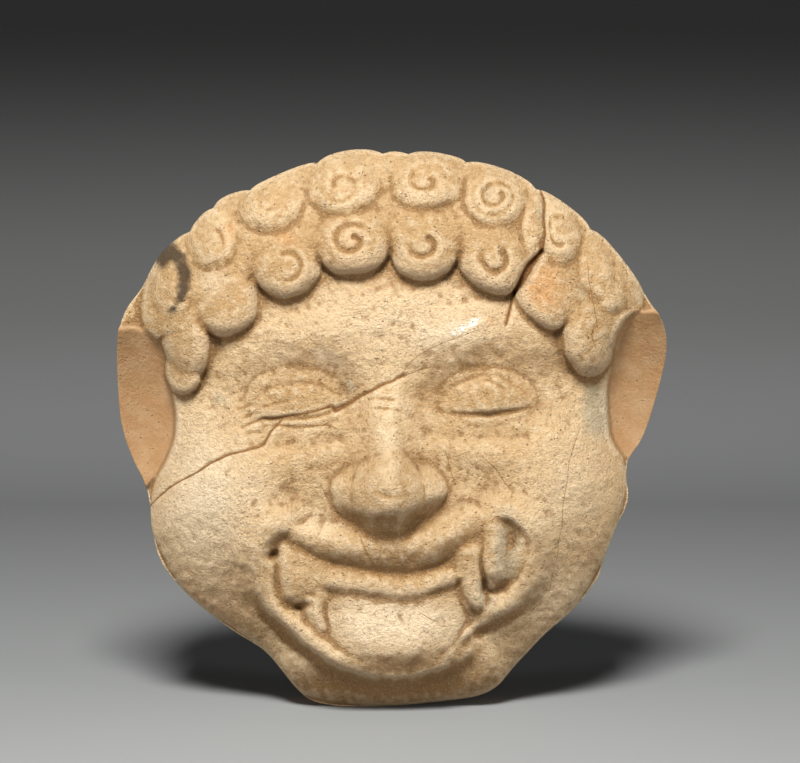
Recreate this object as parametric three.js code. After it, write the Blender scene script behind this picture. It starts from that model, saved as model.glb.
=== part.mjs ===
// Terracotta gorgon plaque: a grinning face with curled hair, tusks and a hanging tongue, pressed in
// one mould and hollow behind, so that it hangs flat against a wall.
// Millimetres, +Z up, +X to the right of someone who looks at the face, which looks toward -Y.
// The trimmed back rim lies in the plane y = 0. The origin is on it, behind the middle of the hair.
import * as THREE from 'three';

// Driving dimensions.
const HALF_HEIGHT = 89.9;
const EDGE_THICKNESS = 13;
const DOME_RISE = 24;
const DOME_FULLNESS = 2.4;
const JAW_STEEPNESS = 0.66;
const HAIR_STEEPNESS = 0.52;
const UPWARD_LOOK = 0.087;
const MOUNT_HEIGHT = 78;
const HOLLOW_SHARE = 0.78;
const HOLLOW_DEPTH = 24;
const HOLLOW_FULLNESS = 2.4;
const HOLLOW_STEEPNESS = 0.6;
const JAW_FLARE = 0.4;
const HAIR_UNDERCUT = 3.2;

// Fineness of the faceted surface.
const FRONT_RINGS = 35;
const RING_SIDES = 6;
const EDGE_SHARE = 0.987;
const WALL_SHARES = [0.5];
const HOLLOW_SHARES = [0.93, 0.8, 0.6, 0.38, 0.18];
const HOLLOW_SIDES = 132;
const STROKE_STEPS = 8;

// The trimmed head without its ears, clockwise from the crown, measured from the middle of the face.
const HEAD_OUTLINE = [
  [0, HALF_HEIGHT], [25, 87.3], [48, 77.2], [66, 62], [77.5, 45.5], [78, 22], [73, 3], [75.8, -15],
  [76.3, -23], [71.5, -36], [66.8, -48], [59.5, -58], [49.8, -66.4], [40, -77.1], [31.3, -85.8],
  [15.5, -89], [0, -HALF_HEIGHT], [-15.8, -90.6], [-25.9, -88.7], [-31, -84.5], [-36.2, -78],
  [-42, -71.9], [-53.3, -64.5], [-65.3, -54.8], [-74.3, -44.1], [-77.6, -33.8], [-78.5, -24],
  [-76.5, -5], [-75.6, 16], [-79.5, 39], [-73, 57], [-60, 69.5], [-42, 79.8], [-20, 87.2],
];
const EARS = [
  { x: -73.4, z: 14.7, wide: 14.9, tall: 31.7 },
  { x: 71.5, z: 21, wide: 16.6, tall: 31 },
];
// Valleys between the curls of the last row, which scallop the outline.
const SCALLOPS = [
  [-23.9, 86.4], [-2.9, 88.7], [5.2, 89], [23.9, 86.1], [46.2, 78], [64, 65.4], [-45.2, 77.1], [-58.2, 72.9],
];
const SCALLOP_DEPTH = 1.5;
const SCALLOP_WIDTH = 2.4;
// The dome under the hair goes on a little past the trimmed outline, so that it ends in a cliff.
const HAIR_MARGIN = 1.8;
// Sines of the directions between which the jaw spreads, the hair draws in and the dome grows steep.
const JAW_ZONE = { from: -0.25, to: -0.55, narrow: 0.2, wide: 0.4 };
const HAIR_ZONE = { from: -0.1, to: 0.2 };
const STEEP_ZONE = { from: 0.2, to: 0.8 };
const MARGIN_ZONE = { from: 0.3, to: 0.6 };

// Curls: the place of each, half its width and height, its lean in degrees, how far it stands out
// of the head, and how deep the hollow in its middle is.
const CURLS = [
  { x: -67.2, z: 18.9, wide: 5.8, tall: 7.6, lean: 8, rise: 5, eye: 0 },
  { x: -65.9, z: 29.9, wide: 8.4, tall: 12.5, lean: 6, rise: 6.6, eye: 0 },
  { x: -52.4, z: 40.9, wide: 10.6, tall: 11.6, lean: -10, rise: 7.4, eye: 0 },
  { x: -33.3, z: 53.2, wide: 11.8, tall: 11.6, lean: -14, rise: 7.8, eye: 0.8 },
  { x: -12.6, z: 59.6, wide: 12, tall: 11.6, lean: 0, rise: 8.4, eye: 1.2 },
  { x: 10, z: 59, wide: 12.2, tall: 11.8, lean: 0, rise: 8.4, eye: 1.4 },
  { x: 32, z: 54.8, wide: 11.8, tall: 11.6, lean: 0, rise: 8.4, eye: 1.4 },
  { x: 49.8, z: 44.8, wide: 10.6, tall: 12.3, lean: 0, rise: 6.8, eye: 0 },
  { x: 62.7, z: 30.5, wide: 9, tall: 14.4, lean: 4, rise: 7.2, eye: 0 },
  { x: -71.4, z: 48, wide: 7.6, tall: 14, lean: 14, rise: 7.4, eye: 0 },
  { x: -56.9, z: 61.6, wide: 9.6, tall: 11.6, lean: 6, rise: 8.4, eye: 0.5 },
  { x: -38.1, z: 72.5, wide: 11.4, tall: 10.8, lean: -20, rise: 8.7, eye: 0.6 },
  { x: -15.8, z: 77.7, wide: 12.6, tall: 10.6, lean: 0, rise: 9, eye: 0.8 },
  { x: 11, z: 79.7, wide: 12.8, tall: 10.4, lean: 0, rise: 9, eye: 0.8 },
  { x: 32.3, z: 73.8, wide: 11.4, tall: 10.6, lean: 0, rise: 9.3, eye: 1 },
  { x: 44.6, z: 66.1, wide: 4.6, tall: 10.2, lean: -4, rise: 7.2, eye: 0 },
  { x: 53.6, z: 62.9, wide: 7.6, tall: 10.6, lean: 8, rise: 8.8, eye: 0.6 },
  { x: 64.6, z: 51.9, wide: 6, tall: 11.4, lean: 14, rise: 7.4, eye: 0 },
  { x: 69.5, z: 44.8, wide: 5.6, tall: 8.4, lean: 10, rise: 7.2, eye: 0.5 },
];
const CURL_EYE_SHARE = 0.34;
const CURL_FULLNESS = 3;
const CURL_STEEPNESS = 0.5;
const CURL_OVERHANG = 1.5;
const CURL_REACH_UP = 0.75;
// The lower edge of the mass of hair, and how thick it is at growing distances above that edge.
const HAIRLINE = [
  [-113.8, 22.8], [-87.9, 25.4], [-71.1, 29.2], [-59.5, 35.1], [-42, 48.3], [-21.3, 53.8],
  [0, 56.4], [21, 55.1], [39.7, 48.3], [54.3, 36.4], [67.2, 26], [86.6, 22.8], [112.5, 20.8],
];
const HAIR_STEPS = [0, 4, 9, 15, 20, 27, 36];
const HAIR_THICKNESS = [4.2, 5.6, 6.2, 5.7, 5.8, 6.2, 6];
const HAIR_FLOOR = 12;
const HAIR_LAP = 2;
const HAIR_EDGE = { out: -0.8, in: 2.2, steepness: 0.7 };

// The line along which each ear meets the hair and the cheek, and the middle of its scooped front.
const EAR_SCOOPS = [
  {
    line: [
      [-100.8, 35.1], [-87.9, 34.4], [-79.5, 33.1], [-74.6, 27.6], [-73.4, 18.9], [-70.1, 9.2],
      [-70.1, -2.4], [-73.7, -10.8], [-77.6, -16], [-81.4, -22.5],
    ],
    x: -82, z: 2, inner: 50, bottom: -20, top: 40, hand: -1,
  },
  {
    line: [
      [99.5, 40.9], [87.3, 39.6], [78.2, 38.3], [73, 31.8], [71.1, 21.2], [69.5, 11.5],
      [70.1, 0.2], [73.4, -6.9], [80.1, -12.8],
    ],
    x: 81, z: 6, inner: 50, bottom: -14, top: 44, hand: 1,
  },
];
const EAR_EDGE = 1.2;
const EAR_THICKNESS = 13;
const EAR_SCOOP = { deepTall: 6, halfTall: 25, deepWide: 2.2, halfWide: 10 };

// Broad forms of the face: cheeks, forehead, hollows beside the nose, chin and jaw, eye sockets.
const MOUNDS = [
  { x: -56.2, z: -19.9, wide: 20, tall: 24, lean: 0, rise: 4.6 },
  { x: 56.2, z: -18.6, wide: 20, tall: 24, lean: 0, rise: 4.6 },
  { x: 0, z: 36.4, wide: 30, tall: 14, lean: 0, rise: 2 },
  { x: -27.1, z: -18.6, wide: 10, tall: 8, lean: 20, rise: -1.4 },
  { x: 27.8, z: -15.4, wide: 14, tall: 6, lean: -22, rise: -1.6 },
  { x: 0, z: -86.1, wide: 17, tall: 5, lean: 0, rise: 2 },
  { x: -28.8, z: -77.4, wide: 8, tall: 7, lean: -40, rise: 1.8 },
  { x: 30.1, z: -76.8, wide: 9, tall: 8, lean: 40, rise: 1.6 },
  { x: -15.5, z: 12.4, wide: 12, tall: 12, lean: -20, rise: -3.2 },
  { x: -33, z: 13.7, wide: 23, tall: 11, lean: 6, rise: -4.4 },
  { x: 13.6, z: 12.1, wide: 12, tall: 12, lean: 20, rise: -3 },
  { x: 33.3, z: 14.4, wide: 25, tall: 12, lean: 0, rise: -4.7 },
];
const BROWS = [
  {
    line: [[-54, 14.7], [-45.2, 24.1], [-30.4, 28.6], [-16.8, 26], [-8.4, 16.3]],
    rise: [0, 1.1, 1.9, 1.6, 0], above: [9, 9, 8, 7, 6], below: [9, 12, 12, 11, 8],
  },
  {
    line: [[3.9, 15.7], [12.9, 25.4], [29.1, 32.2], [46.2, 30.5], [58.2, 21.5]],
    rise: [0, 1.6, 2.2, 1.6, 0], above: [6, 7, 9, 9, 9], below: [8, 11, 12, 11, 9],
  },
];
// Shut eyes: the slit between the lids, the ball behind them, and the fold under the lower lid.
const EYES = [
  {
    slit: [[-48.2, 1.8], [-40.1, 3.7], [-30.4, 4.4], [-22.6, 6], [-14.2, 8.9]],
    ball: { x: -30.7, z: 10.5, wide: 17, tall: 9.5, lean: 6, rise: 3.2 },
    fold: [[-43.9, -4.4], [-29.7, -4], [-17.5, -1.1]],
  },
  {
    slit: [[15.5, 7.6], [22.6, 6], [30.1, 5.3], [37.5, 5.7], [44.6, 8.2]],
    ball: { x: 30.4, z: 11.1, wide: 16.5, tall: 9.5, lean: 0, rise: 4 },
    fold: [[10.7, 0.2], [25.2, -2.1], [43, -1.1]],
  },
];
const BALL_ROUNDNESS = 1.1;
const LOWER_LID = 0.55;
const LID_EDGE = { out: -0.8, in: 0.4 };
const SLIT = { depth: [0, 0.6, 0.7, 0.6, 0], width: [1.1, 1.1] };
const FOLD = { depth: [0.9, 1.2, 0.9], width: [2.8, 3.3, 2.7] };

// Nose: its ridge, its broad mass with the ball and the wings, and the wedge of its underside, which
// meets the lip at a point.
const NOSE_X = -1.6;
const NOSE_LEVELS = [-40, -18, -8, 0, 8, 15, 23, 30];
const NOSE_RISES = [10.2, 10.4, 8.6, 7, 5.2, 3.3, 1.2, 0];
const NOSE_WIDTHS = [10.5, 10.5, 9, 7.8, 7.6, 9, 11, 13];
const RIDGE_FALL = 1.1;
const RIDGE_SQUARENESS = 2.1;
const NOSE_MASSES = [
  { x: -0.6, z: -19.6, wide: 18.2, tall: 11, lean: 0, rise: 8.2 },
  { x: -1.3, z: -18.3, wide: 11.5, tall: 11, lean: 0, rise: 13.2 },
];
const NOSE_ROUNDNESS = 0.6;
const NOSE_FADE = 0.6;
const NOSE_DROOP = 0.6;
const NOSE_CLIMB = 0.74;
const NOSE_WINGS = [
  { x: -14.5, z: -19.9, wide: 4.5, tall: 5.4, lean: -20, rise: 1.4 },
  { x: 12.6, z: -18.9, wide: 4.5, tall: 5.4, lean: 20, rise: 1.6 },
];
const NOSTRILS = [
  { x: -10, z: -28.9, wide: 3.4, tall: 1.8, lean: -48, rise: 1.4 },
  { x: 7.1, z: -28.6, wide: 4, tall: 2.2, lean: 40, rise: 1.6 },
];
// Underneath, the nose is cut back to the lip: how far aside, where its foot is and how steep it rises.
const UNDERSIDE_ASIDE = [0, 4, 8, 11.5, 15.5, 18.5, 22];
const UNDERSIDE_FOOT = [-38, -37.4, -33.6, -29.4, -25.4, -20.6, -12];
const UNDERSIDE_SLOPE = [1.15, 1.12, 1, 0.9, 0.9, 0.9, 0.9];
const UNDERSIDE_STEP = 1.2;
const UNDERSIDE_EDGE = 0.5;
const UNDERSIDE_SOFTNESS = 1.2;

// Mouth: the row of teeth, the lip drawn back over it, the tongue, the tusks and the folds round it.
const TONGUE = { x: -0.2, z: -54.8, wide: 24.1, tall: 26.2 };
const TONGUE_CORNER = 3;
const TONGUE_EDGE = { squareness: 3.4, steepness: 0.8 };
const TONGUE_LEVELS = [-84, -80, -76, -72, -66, -60, -54, -48, -42];
const TONGUE_RISES = [12.2, 13, 13, 12, 9, 6.2, 3.8, 2.6, 0];
const MOUTH_CRESTS = [
  {
    line: [
      [-23.9, -47.3], [-12.9, -49.9], [-0.6, -50.9], [10.3, -49.9], [19.4, -47], [24.6, -43.8],
    ],
    rise: [3.6, 4.8, 5, 5, 4.8, 3.4],
    above: [5, 6, 6, 6, 5, 5], below: [3.2, 3.6, 4.2, 4.2, 3.6, 3.2],
    firm: true,
  },
  {
    line: [
      [-34.3, -31.5], [-28.1, -33.4], [-20, -35.4], [-11, -37], [-1.3, -37.6], [7.4, -36.7],
      [16.2, -33.8], [23.9, -29.6], [31.7, -26.3],
    ],
    rise: [2.4, 4.6, 5.6, 6.2, 6.4, 6.4, 6, 5, 2.5],
    above: [4, 5.4, 6.2, 6.6, 6.6, 6.6, 6.2, 5.4, 4], below: [3.2, 5.2, 6.8, 8, 8.5, 8.2, 7.6, 6.6, 4.6],
    firm: true,
  },
  {
    line: [
      [-25.9, -31.5], [-33.6, -29.9], [-40.4, -32.5], [-43.9, -38.9], [-43.6, -46.7],
      [-40.7, -53.8], [-35.9, -59.6], [-30.1, -64.5], [-23.9, -69.3], [-17.8, -74.2],
      [-10.3, -77.7],
    ],
    rise: [0, 4.4, 4.8, 4.6, 4.4, 4.8, 5.6, 6.6, 7.8, 8.8, 5],
    above: [2.5, 3.4, 4.4, 5.4, 6, 6.2, 6, 5.4, 5, 5, 5],
    below: [5, 6.5, 7, 6.5, 5.2, 4.2, 3.8, 3.8, 4, 4, 4],
    firm: false,
  },
  {
    line: [
      [27.8, -27.6], [34.9, -26], [41.4, -29.2], [44.6, -37], [43.6, -45.7], [39.1, -53.5],
      [33.3, -59.3], [26.5, -64.5],
    ],
    rise: [2, 4, 4.8, 4.4, 4.2, 4.6, 4.8, 2],
    above: [5, 6, 7, 7, 6, 4.8, 4, 3.4], below: [2.4, 2.8, 3, 3.4, 4.2, 4.8, 4.6, 4],
    firm: false,
  },
];
const MOUTH_CORNERS = [
  { x: -30.4, z: -47.7, wide: 12, tall: 11, lean: 10, rise: 4.6 },
  { x: -38.1, z: -46.7, wide: 7, tall: 13, lean: 10, rise: 3.2 },
  { x: 29.7, z: -42.5, wide: 10, tall: 14, lean: 0, rise: 4.8 },
  { x: 38.5, z: -39.3, wide: 8, tall: 13, lean: 0, rise: 4.8 },
  { x: 33, z: -56.7, wide: 8, tall: 6, lean: 30, rise: 5.2 },
];
const TUSKS = [
  { line: [
    [-33.9, -35.4], [-34.3, -41.8], [-33, -51.5],
  ], rise: [1.6, 4.2, 5], width: [3, 4.4, 5.8] },
  { line: [
    [-26.2, -54.8], [-24.9, -58.3], [-23.3, -62.5],
  ], rise: [4.4, 4.8, 4.6], width: [4.6, 4.4, 4.2] },
  { line: [
    [25.2, -39.3], [25.9, -47.3], [26.2, -54.1],
  ], rise: [4.6, 5.6, 5.8], width: [5.8, 5.4, 4.4] },
  { line: [
    [31.7, -27.6], [32.6, -36], [33.3, -43.5],
  ], rise: [3.6, 5.4, 5.8], width: [4.4, 5, 5.4] },
];
const MOUTH_GROOVES = [
  {
    line: [
      [-42, -29.6], [-46.2, -34.7], [-47.2, -40.6], [-46.2, -46.4], [-44.3, -53.2], [-40.4, -60.9],
      [-34.3, -67.7], [-27.5, -71.9], [-21.7, -75.5],
    ],
    depth: [0, 0.5, 0.7, 0.8, 1, 1.5, 2, 2.2, 0], width: [2.5, 1.7, 1.9, 2.2, 2.2],
  },
  {
    line: [
      [45.9, -54.1], [39.7, -58.7], [33.9, -61.9], [28.4, -64.5], [23.9, -68.3], [21, -72.5],
      [16.8, -76.8],
    ],
    depth: [0, 0.8, 2, 2.8, 2.6, 1.6, 0], width: [2, 2.2, 2, 1.6],
  },
  {
    line: [
      [28.4, -34.7], [28.4, -41.8], [29.1, -49], [29.4, -54.1],
    ], depth: [0.2, 1.4, 2.6, 1.4], width: [1.3, 1.3],
  },
];
const CREST_SQUARENESS = 2.4;
const FIRM_CREST = { squareness: 1.5, steepness: 0.65 };

// How strongly two forms that meet keep to the higher of the two.
const NOSE_JOIN = 2.4;
const SOFT_JOIN = 5;
const MOUTH_JOIN = 6;
const CURL_JOIN = 6;
const FIRM_JOIN = 9;
const NOTHING = 0.02;

const TURN = 2 * Math.PI;

// A smooth step from 0 at one value to 1 at another.
function fade(from, to, value) {
  return THREE.MathUtils.smoothstep((value - from) / (to - from), 0, 1);
}

// The value that a row of values, spread evenly from 0 to 1, has at a share of the way.
function spread(values, share) {
  const place = THREE.MathUtils.clamp(share, 0, 1) * (values.length - 1);
  const left = Math.min(Math.floor(place), values.length - 2);
  return THREE.MathUtils.lerp(values[left], values[left + 1], place - left);
}

// The value at a place between rising stations.
function between(stations, values, place) {
  const held = THREE.MathUtils.clamp(place, stations[0], stations.at(-1));
  const right = Math.max(1, stations.findIndex((station) => station >= held));
  const share = (held - stations[right - 1]) / (stations[right] - stations[right - 1]);
  return THREE.MathUtils.lerp(values[right - 1], values[right], share);
}

// The higher of two forms, with the corner between them filled.
function join(first, second, firmness) {
  return (Math.max(first, 0) ** firmness + Math.max(second, 0) ** firmness) ** (1 / firmness);
}

// The lower of two surfaces, rounded where they cross.
function lowerOf(first, second, softness) {
  const share = THREE.MathUtils.clamp(0.5 + 0.5 * (second - first) / softness, 0, 1);
  return THREE.MathUtils.lerp(second, first, share) - softness * share * (1 - share);
}

// A point in a form's own leaning axes, as shares of its half width and half height.
function within(form, x, z) {
  const lean = THREE.MathUtils.degToRad(form.lean ?? 0);
  const across = ((x - form.x) * Math.cos(lean) + (z - form.z) * Math.sin(lean)) / form.wide;
  const up = ((z - form.z) * Math.cos(lean) - (x - form.x) * Math.sin(lean)) / form.tall;
  return { across, up, reach: Math.hypot(across, up) };
}

// A soft mound, or a hollow where its rise is below zero.
function mound(form, x, z) {
  return form.rise * Math.exp(-(within(form, x, z).reach ** 2));
}

// A curved line drawn on the face, which tells how near a point is, how far along, and on which side.
class Stroke {
  constructor(points) {
    const curve = new THREE.SplineCurve(points.map(([x, z]) => new THREE.Vector2(x, z)));
    this.nodes = curve.getPoints(points.length * STROKE_STEPS);
    this.starts = [0];
    for (let i = 1; i < this.nodes.length; i++) {
      this.starts.push(this.starts[i - 1] + this.nodes[i].distanceTo(this.nodes[i - 1]));
    }
  }

  near(x, z) {
    const best = { distance: Infinity, along: 0, side: 1 };
    for (let i = 1; i < this.nodes.length; i++) {
      const start = this.nodes[i - 1];
      const way = this.nodes[i].clone().sub(start);
      const share = THREE.MathUtils.clamp(
        ((x - start.x) * way.x + (z - start.y) * way.y) / way.lengthSq(), 0, 1);
      const offX = x - start.x - share * way.x;
      const offZ = z - start.y - share * way.y;
      const distance = Math.hypot(offX, offZ);
      if (distance < best.distance) {
        best.distance = distance;
        best.along = (this.starts[i - 1] + share * way.length()) / this.starts.at(-1);
        best.side = Math.sign(way.x * offZ - way.y * offX);
      }
    }
    return best;
  }
}

// Each stroke is worked out once and then looked up by its list of points.
const strokes = new Map();
function nearStroke(points, x, z) {
  if (!strokes.has(points)) {
    strokes.set(points, new Stroke(points));
  }
  return strokes.get(points).near(x, z);
}

// A ridge with one width above its line and another below it, where a firm one rolls under.
function crest(form, x, z) {
  const { distance, along, side } = nearStroke(form.line, x, z);
  const off = distance / spread(side > 0 ? form.above : form.below, along);
  const fall = form.firm && side <= 0
    ? Math.max(0, 1 - off ** FIRM_CREST.squareness) ** FIRM_CREST.steepness
    : Math.exp(-(off ** CREST_SQUARENESS));
  return spread(form.rise, along) * fall;
}

function groove(form, x, z) {
  const { distance, along } = nearStroke(form.line, x, z);
  return spread(form.depth, along) * Math.exp(-((distance / spread(form.width, along)) ** 2));
}

// The head's outline as a distance from the middle of the face in a given direction.
const headNodes = new THREE.SplineCurve(
  [...HEAD_OUTLINE, HEAD_OUTLINE[0], HEAD_OUTLINE[1]].map(([x, z]) => new THREE.Vector2(x, z)),
).getPoints((HEAD_OUTLINE.length + 1) * STROKE_STEPS);

function headRadius(angle) {
  const ray = new THREE.Vector2(Math.cos(angle), Math.sin(angle));
  let radius = 0;
  for (let i = 1; i < headNodes.length; i++) {
    const start = headNodes[i - 1];
    const way = headNodes[i].clone().sub(start);
    const spin = ray.x * way.y - ray.y * way.x;
    const share = (start.x * ray.y - start.y * ray.x) / spin;
    if (share >= 0 && share <= 1) {
      radius = Math.max(radius, (start.x * way.y - start.y * way.x) / spin);
    }
  }
  return radius;
}

// How far a ray from the middle of the face goes before it leaves an ear, or 0 if it misses.
function earRadius(ear, angle) {
  const along = new THREE.Vector2(Math.cos(angle) / ear.wide, Math.sin(angle) / ear.tall);
  const middle = new THREE.Vector2(ear.x / ear.wide, ear.z / ear.tall);
  const square = along.lengthSq();
  const half = along.dot(middle);
  const under = half * half - square * (middle.lengthSq() - 1);
  return under > 0 ? (half + Math.sqrt(under)) / square : 0;
}

function outlineRadius(angle) {
  let radius = headRadius(angle);
  for (const ear of EARS) {
    radius = Math.max(radius, earRadius(ear, angle));
  }
  for (const [x, z] of SCALLOPS) {
    const turn = THREE.MathUtils.euclideanModulo(angle - Math.atan2(z, x) + Math.PI, TURN) - Math.PI;
    radius -= SCALLOP_DEPTH * Math.exp(-Math.abs(turn) * HALF_HEIGHT / SCALLOP_WIDTH);
  }
  return radius;
}

// The trimmed jaw spreads a little toward its foot, and the hair draws in.
function jawShare(angle) {
  const low = fade(JAW_ZONE.from, JAW_ZONE.to, Math.sin(angle));
  return low * fade(JAW_ZONE.narrow, JAW_ZONE.wide, Math.abs(Math.cos(angle)));
}

function footRadius(angle) {
  const undercut = HAIR_UNDERCUT * fade(HAIR_ZONE.from, HAIR_ZONE.to, Math.sin(angle));
  return outlineRadius(angle) + JAW_FLARE * jawShare(angle) - undercut;
}

// The plain mask: a dome that falls to the trimmed edge, steeper under the hair than at the jaw.
function plainFace(x, z) {
  const angle = Math.atan2(z, x);
  const up = Math.sin(angle);
  const radius = headRadius(angle) + HAIR_MARGIN * fade(MARGIN_ZONE.from, MARGIN_ZONE.to, up);
  const share = Math.min(Math.hypot(x, z) / radius, 1);
  const steepness = THREE.MathUtils.lerp(
    JAW_STEEPNESS, HAIR_STEEPNESS, fade(STEEP_ZONE.from, STEEP_ZONE.to, up));
  return EDGE_THICKNESS + DOME_RISE * Math.max(0, 1 - share ** DOME_FULLNESS) ** steepness;
}

function eyes(x, z) {
  let rise = 0;
  for (const brow of BROWS) {
    rise += crest(brow, x, z);
  }
  for (const eye of EYES) {
    const slit = nearStroke(eye.slit, x, z);
    const dome = Math.max(0, 1 - within(eye.ball, x, z).reach ** 2) ** BALL_ROUNDNESS;
    const upper = fade(LID_EDGE.out, LID_EDGE.in, slit.distance * slit.side);
    rise += eye.ball.rise * dome * THREE.MathUtils.lerp(LOWER_LID, 1, upper);
    rise -= groove({ line: eye.slit, ...SLIT }, x, z);
    rise -= groove({ line: eye.fold, ...FOLD }, x, z);
  }
  return rise;
}

function nose(x, z) {
  const aside = Math.abs(x - NOSE_X);
  const across = aside / between(NOSE_LEVELS, NOSE_WIDTHS, z);
  let rise = between(NOSE_LEVELS, NOSE_RISES, z) * Math.exp(-RIDGE_FALL * across ** RIDGE_SQUARENESS);
  for (const mass of NOSE_MASSES) {
    const place = within(mass, x, z);
    const up = place.up * (place.up < 0 ? NOSE_DROOP : NOSE_CLIMB);
    const roundness = NOSE_ROUNDNESS + NOSE_FADE * fade(0, 1, up);
    const dome = Math.max(0, 1 - place.across ** 2 - up ** 2) ** roundness;
    rise = join(rise, mass.rise * dome, NOSE_JOIN);
  }
  for (const wing of NOSE_WINGS) {
    rise += mound(wing, x, z);
  }
  const climb = z - between(UNDERSIDE_ASIDE, UNDERSIDE_FOOT, aside);
  const under = UNDERSIDE_STEP + between(UNDERSIDE_ASIDE, UNDERSIDE_SLOPE, aside) * climb;
  rise = lowerOf(rise, under, UNDERSIDE_SOFTNESS) * fade(-UNDERSIDE_EDGE, UNDERSIDE_EDGE, climb);
  for (const nostril of NOSTRILS) {
    rise -= mound(nostril, x, z);
  }
  return Math.max(rise, 0);
}

function tongue(x, z) {
  const drop = Math.max(0, TONGUE.z - z) / TONGUE.tall;
  const aside = Math.abs(x - TONGUE.x) / TONGUE.wide;
  const out = Math.min(1, (aside ** TONGUE_CORNER + drop ** TONGUE_CORNER) ** (1 / TONGUE_CORNER));
  const edge = (1 - out ** TONGUE_EDGE.squareness) ** TONGUE_EDGE.steepness;
  return between(TONGUE_LEVELS, TONGUE_RISES, z) * edge;
}

function mouth(x, z) {
  let rise = tongue(x, z);
  for (const form of MOUTH_CRESTS) {
    rise = join(rise, crest(form, x, z), MOUTH_JOIN);
  }
  for (const form of MOUTH_CORNERS) {
    rise = join(rise, mound(form, x, z), MOUTH_JOIN);
  }
  for (const form of TUSKS) {
    rise = join(rise, crest({ ...form, above: form.width, below: form.width }, x, z), MOUTH_JOIN);
  }
  for (const form of MOUTH_GROOVES) {
    rise -= groove(form, x, z);
  }
  return rise;
}

// The bare face, above the plain mask.
function features(x, z) {
  const upper = nose(x, z);
  const lower = mouth(x, z);
  let rise = lower > 0 ? join(upper, lower, SOFT_JOIN) : upper + lower;
  rise += eyes(x, z);
  for (const form of MOUNDS) {
    rise += mound(form, x, z);
  }
  return rise;
}

// Two rows of round curls on a mass of hair, which lap over the forehead.
function hair(x, z) {
  const edge = nearStroke(HAIRLINE, x, z);
  const above = z > HAIR_FLOOR ? edge.distance * edge.side : -edge.distance;
  const start = fade(HAIR_EDGE.out, HAIR_EDGE.in, above) ** HAIR_EDGE.steepness;
  let rise = start * between(HAIR_STEPS, HAIR_THICKNESS, above);
  for (const curl of CURLS) {
    const { across, up, reach } = within(curl, x, z);
    const middle = Math.hypot(across, up > 0 ? CURL_REACH_UP * up : up);
    const dome = Math.max(0, 1 - middle ** CURL_FULLNESS) ** CURL_STEEPNESS;
    const eye = curl.eye * Math.exp(-((reach / CURL_EYE_SHARE) ** 2));
    rise = join(rise, (curl.rise - CURL_OVERHANG * up) * dome - eye, CURL_JOIN);
  }
  return rise;
}

// The ears stand lower than the cheeks, and their fronts are scooped out.
function withEars(height, x, z) {
  let result = height;
  for (const ear of EAR_SCOOPS) {
    if (x * ear.hand < ear.inner || z < ear.bottom || z > ear.top) {
      continue;
    }
    const edge = nearStroke(ear.line, x, z);
    const share = fade(-EAR_EDGE, EAR_EDGE, edge.distance * edge.side * ear.hand);
    const scoop = EAR_SCOOP.deepTall * ((z - ear.z) / EAR_SCOOP.halfTall) ** 2
      + EAR_SCOOP.deepWide * ((x - ear.x) / EAR_SCOOP.halfWide) ** 2;
    result = THREE.MathUtils.lerp(result, EAR_THICKNESS + scoop, share);
  }
  return result;
}

// How far the front stands off the wall at a point of the face.
function faceHeight(x, z) {
  const bare = features(x, z);
  const curls = z > HAIR_FLOOR - HAIR_LAP ? hair(x, z) : 0;
  const relief = curls > NOTHING ? join(bare, curls, FIRM_JOIN) : bare;
  return withEars(plainFace(x, z) + relief, x, z);
}

// A closed ring of points round the middle of the face. Depth is the distance off the wall, and the
// further a point stands out the more it is carried up, by the lift.
function ring(sides, radiusAt, depthAt, lift) {
  const points = [];
  for (let i = 0; i < sides; i++) {
    const angle = TURN * i / sides;
    const radius = radiusAt(angle);
    const x = radius * Math.cos(angle);
    const z = radius * Math.sin(angle);
    points.push(new THREE.Vector3(x, -depthAt(x, z, angle), z));
    points[i].z += lift * Math.max(0, -points[i].y - EDGE_THICKNESS);
  }
  return points;
}

// Triangles between two rings, which may have different numbers of points.
function stitch(triangles, inner, outer) {
  let i = 0;
  let j = 0;
  while (i < inner.length || j < outer.length) {
    const a = inner[i % inner.length];
    const b = outer[j % outer.length];
    const nextInner = i < inner.length ? (i + 1) / inner.length : Infinity;
    const nextOuter = j < outer.length ? (j + 1) / outer.length : Infinity;
    if (nextInner < nextOuter) {
      i += 1;
      triangles.push([a, b, inner[i % inner.length]]);
    } else {
      j += 1;
      triangles.push([a, b, outer[j % outer.length]]);
    }
  }
}

// Closes the skin at the middle of its first or last ring.
function fan(triangles, point, around, fromBehind) {
  around.forEach((corner, i) => {
    const next = around[(i + 1) % around.length];
    triangles.push(fromBehind ? [point, next, corner] : [point, corner, next]);
  });
}

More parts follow.
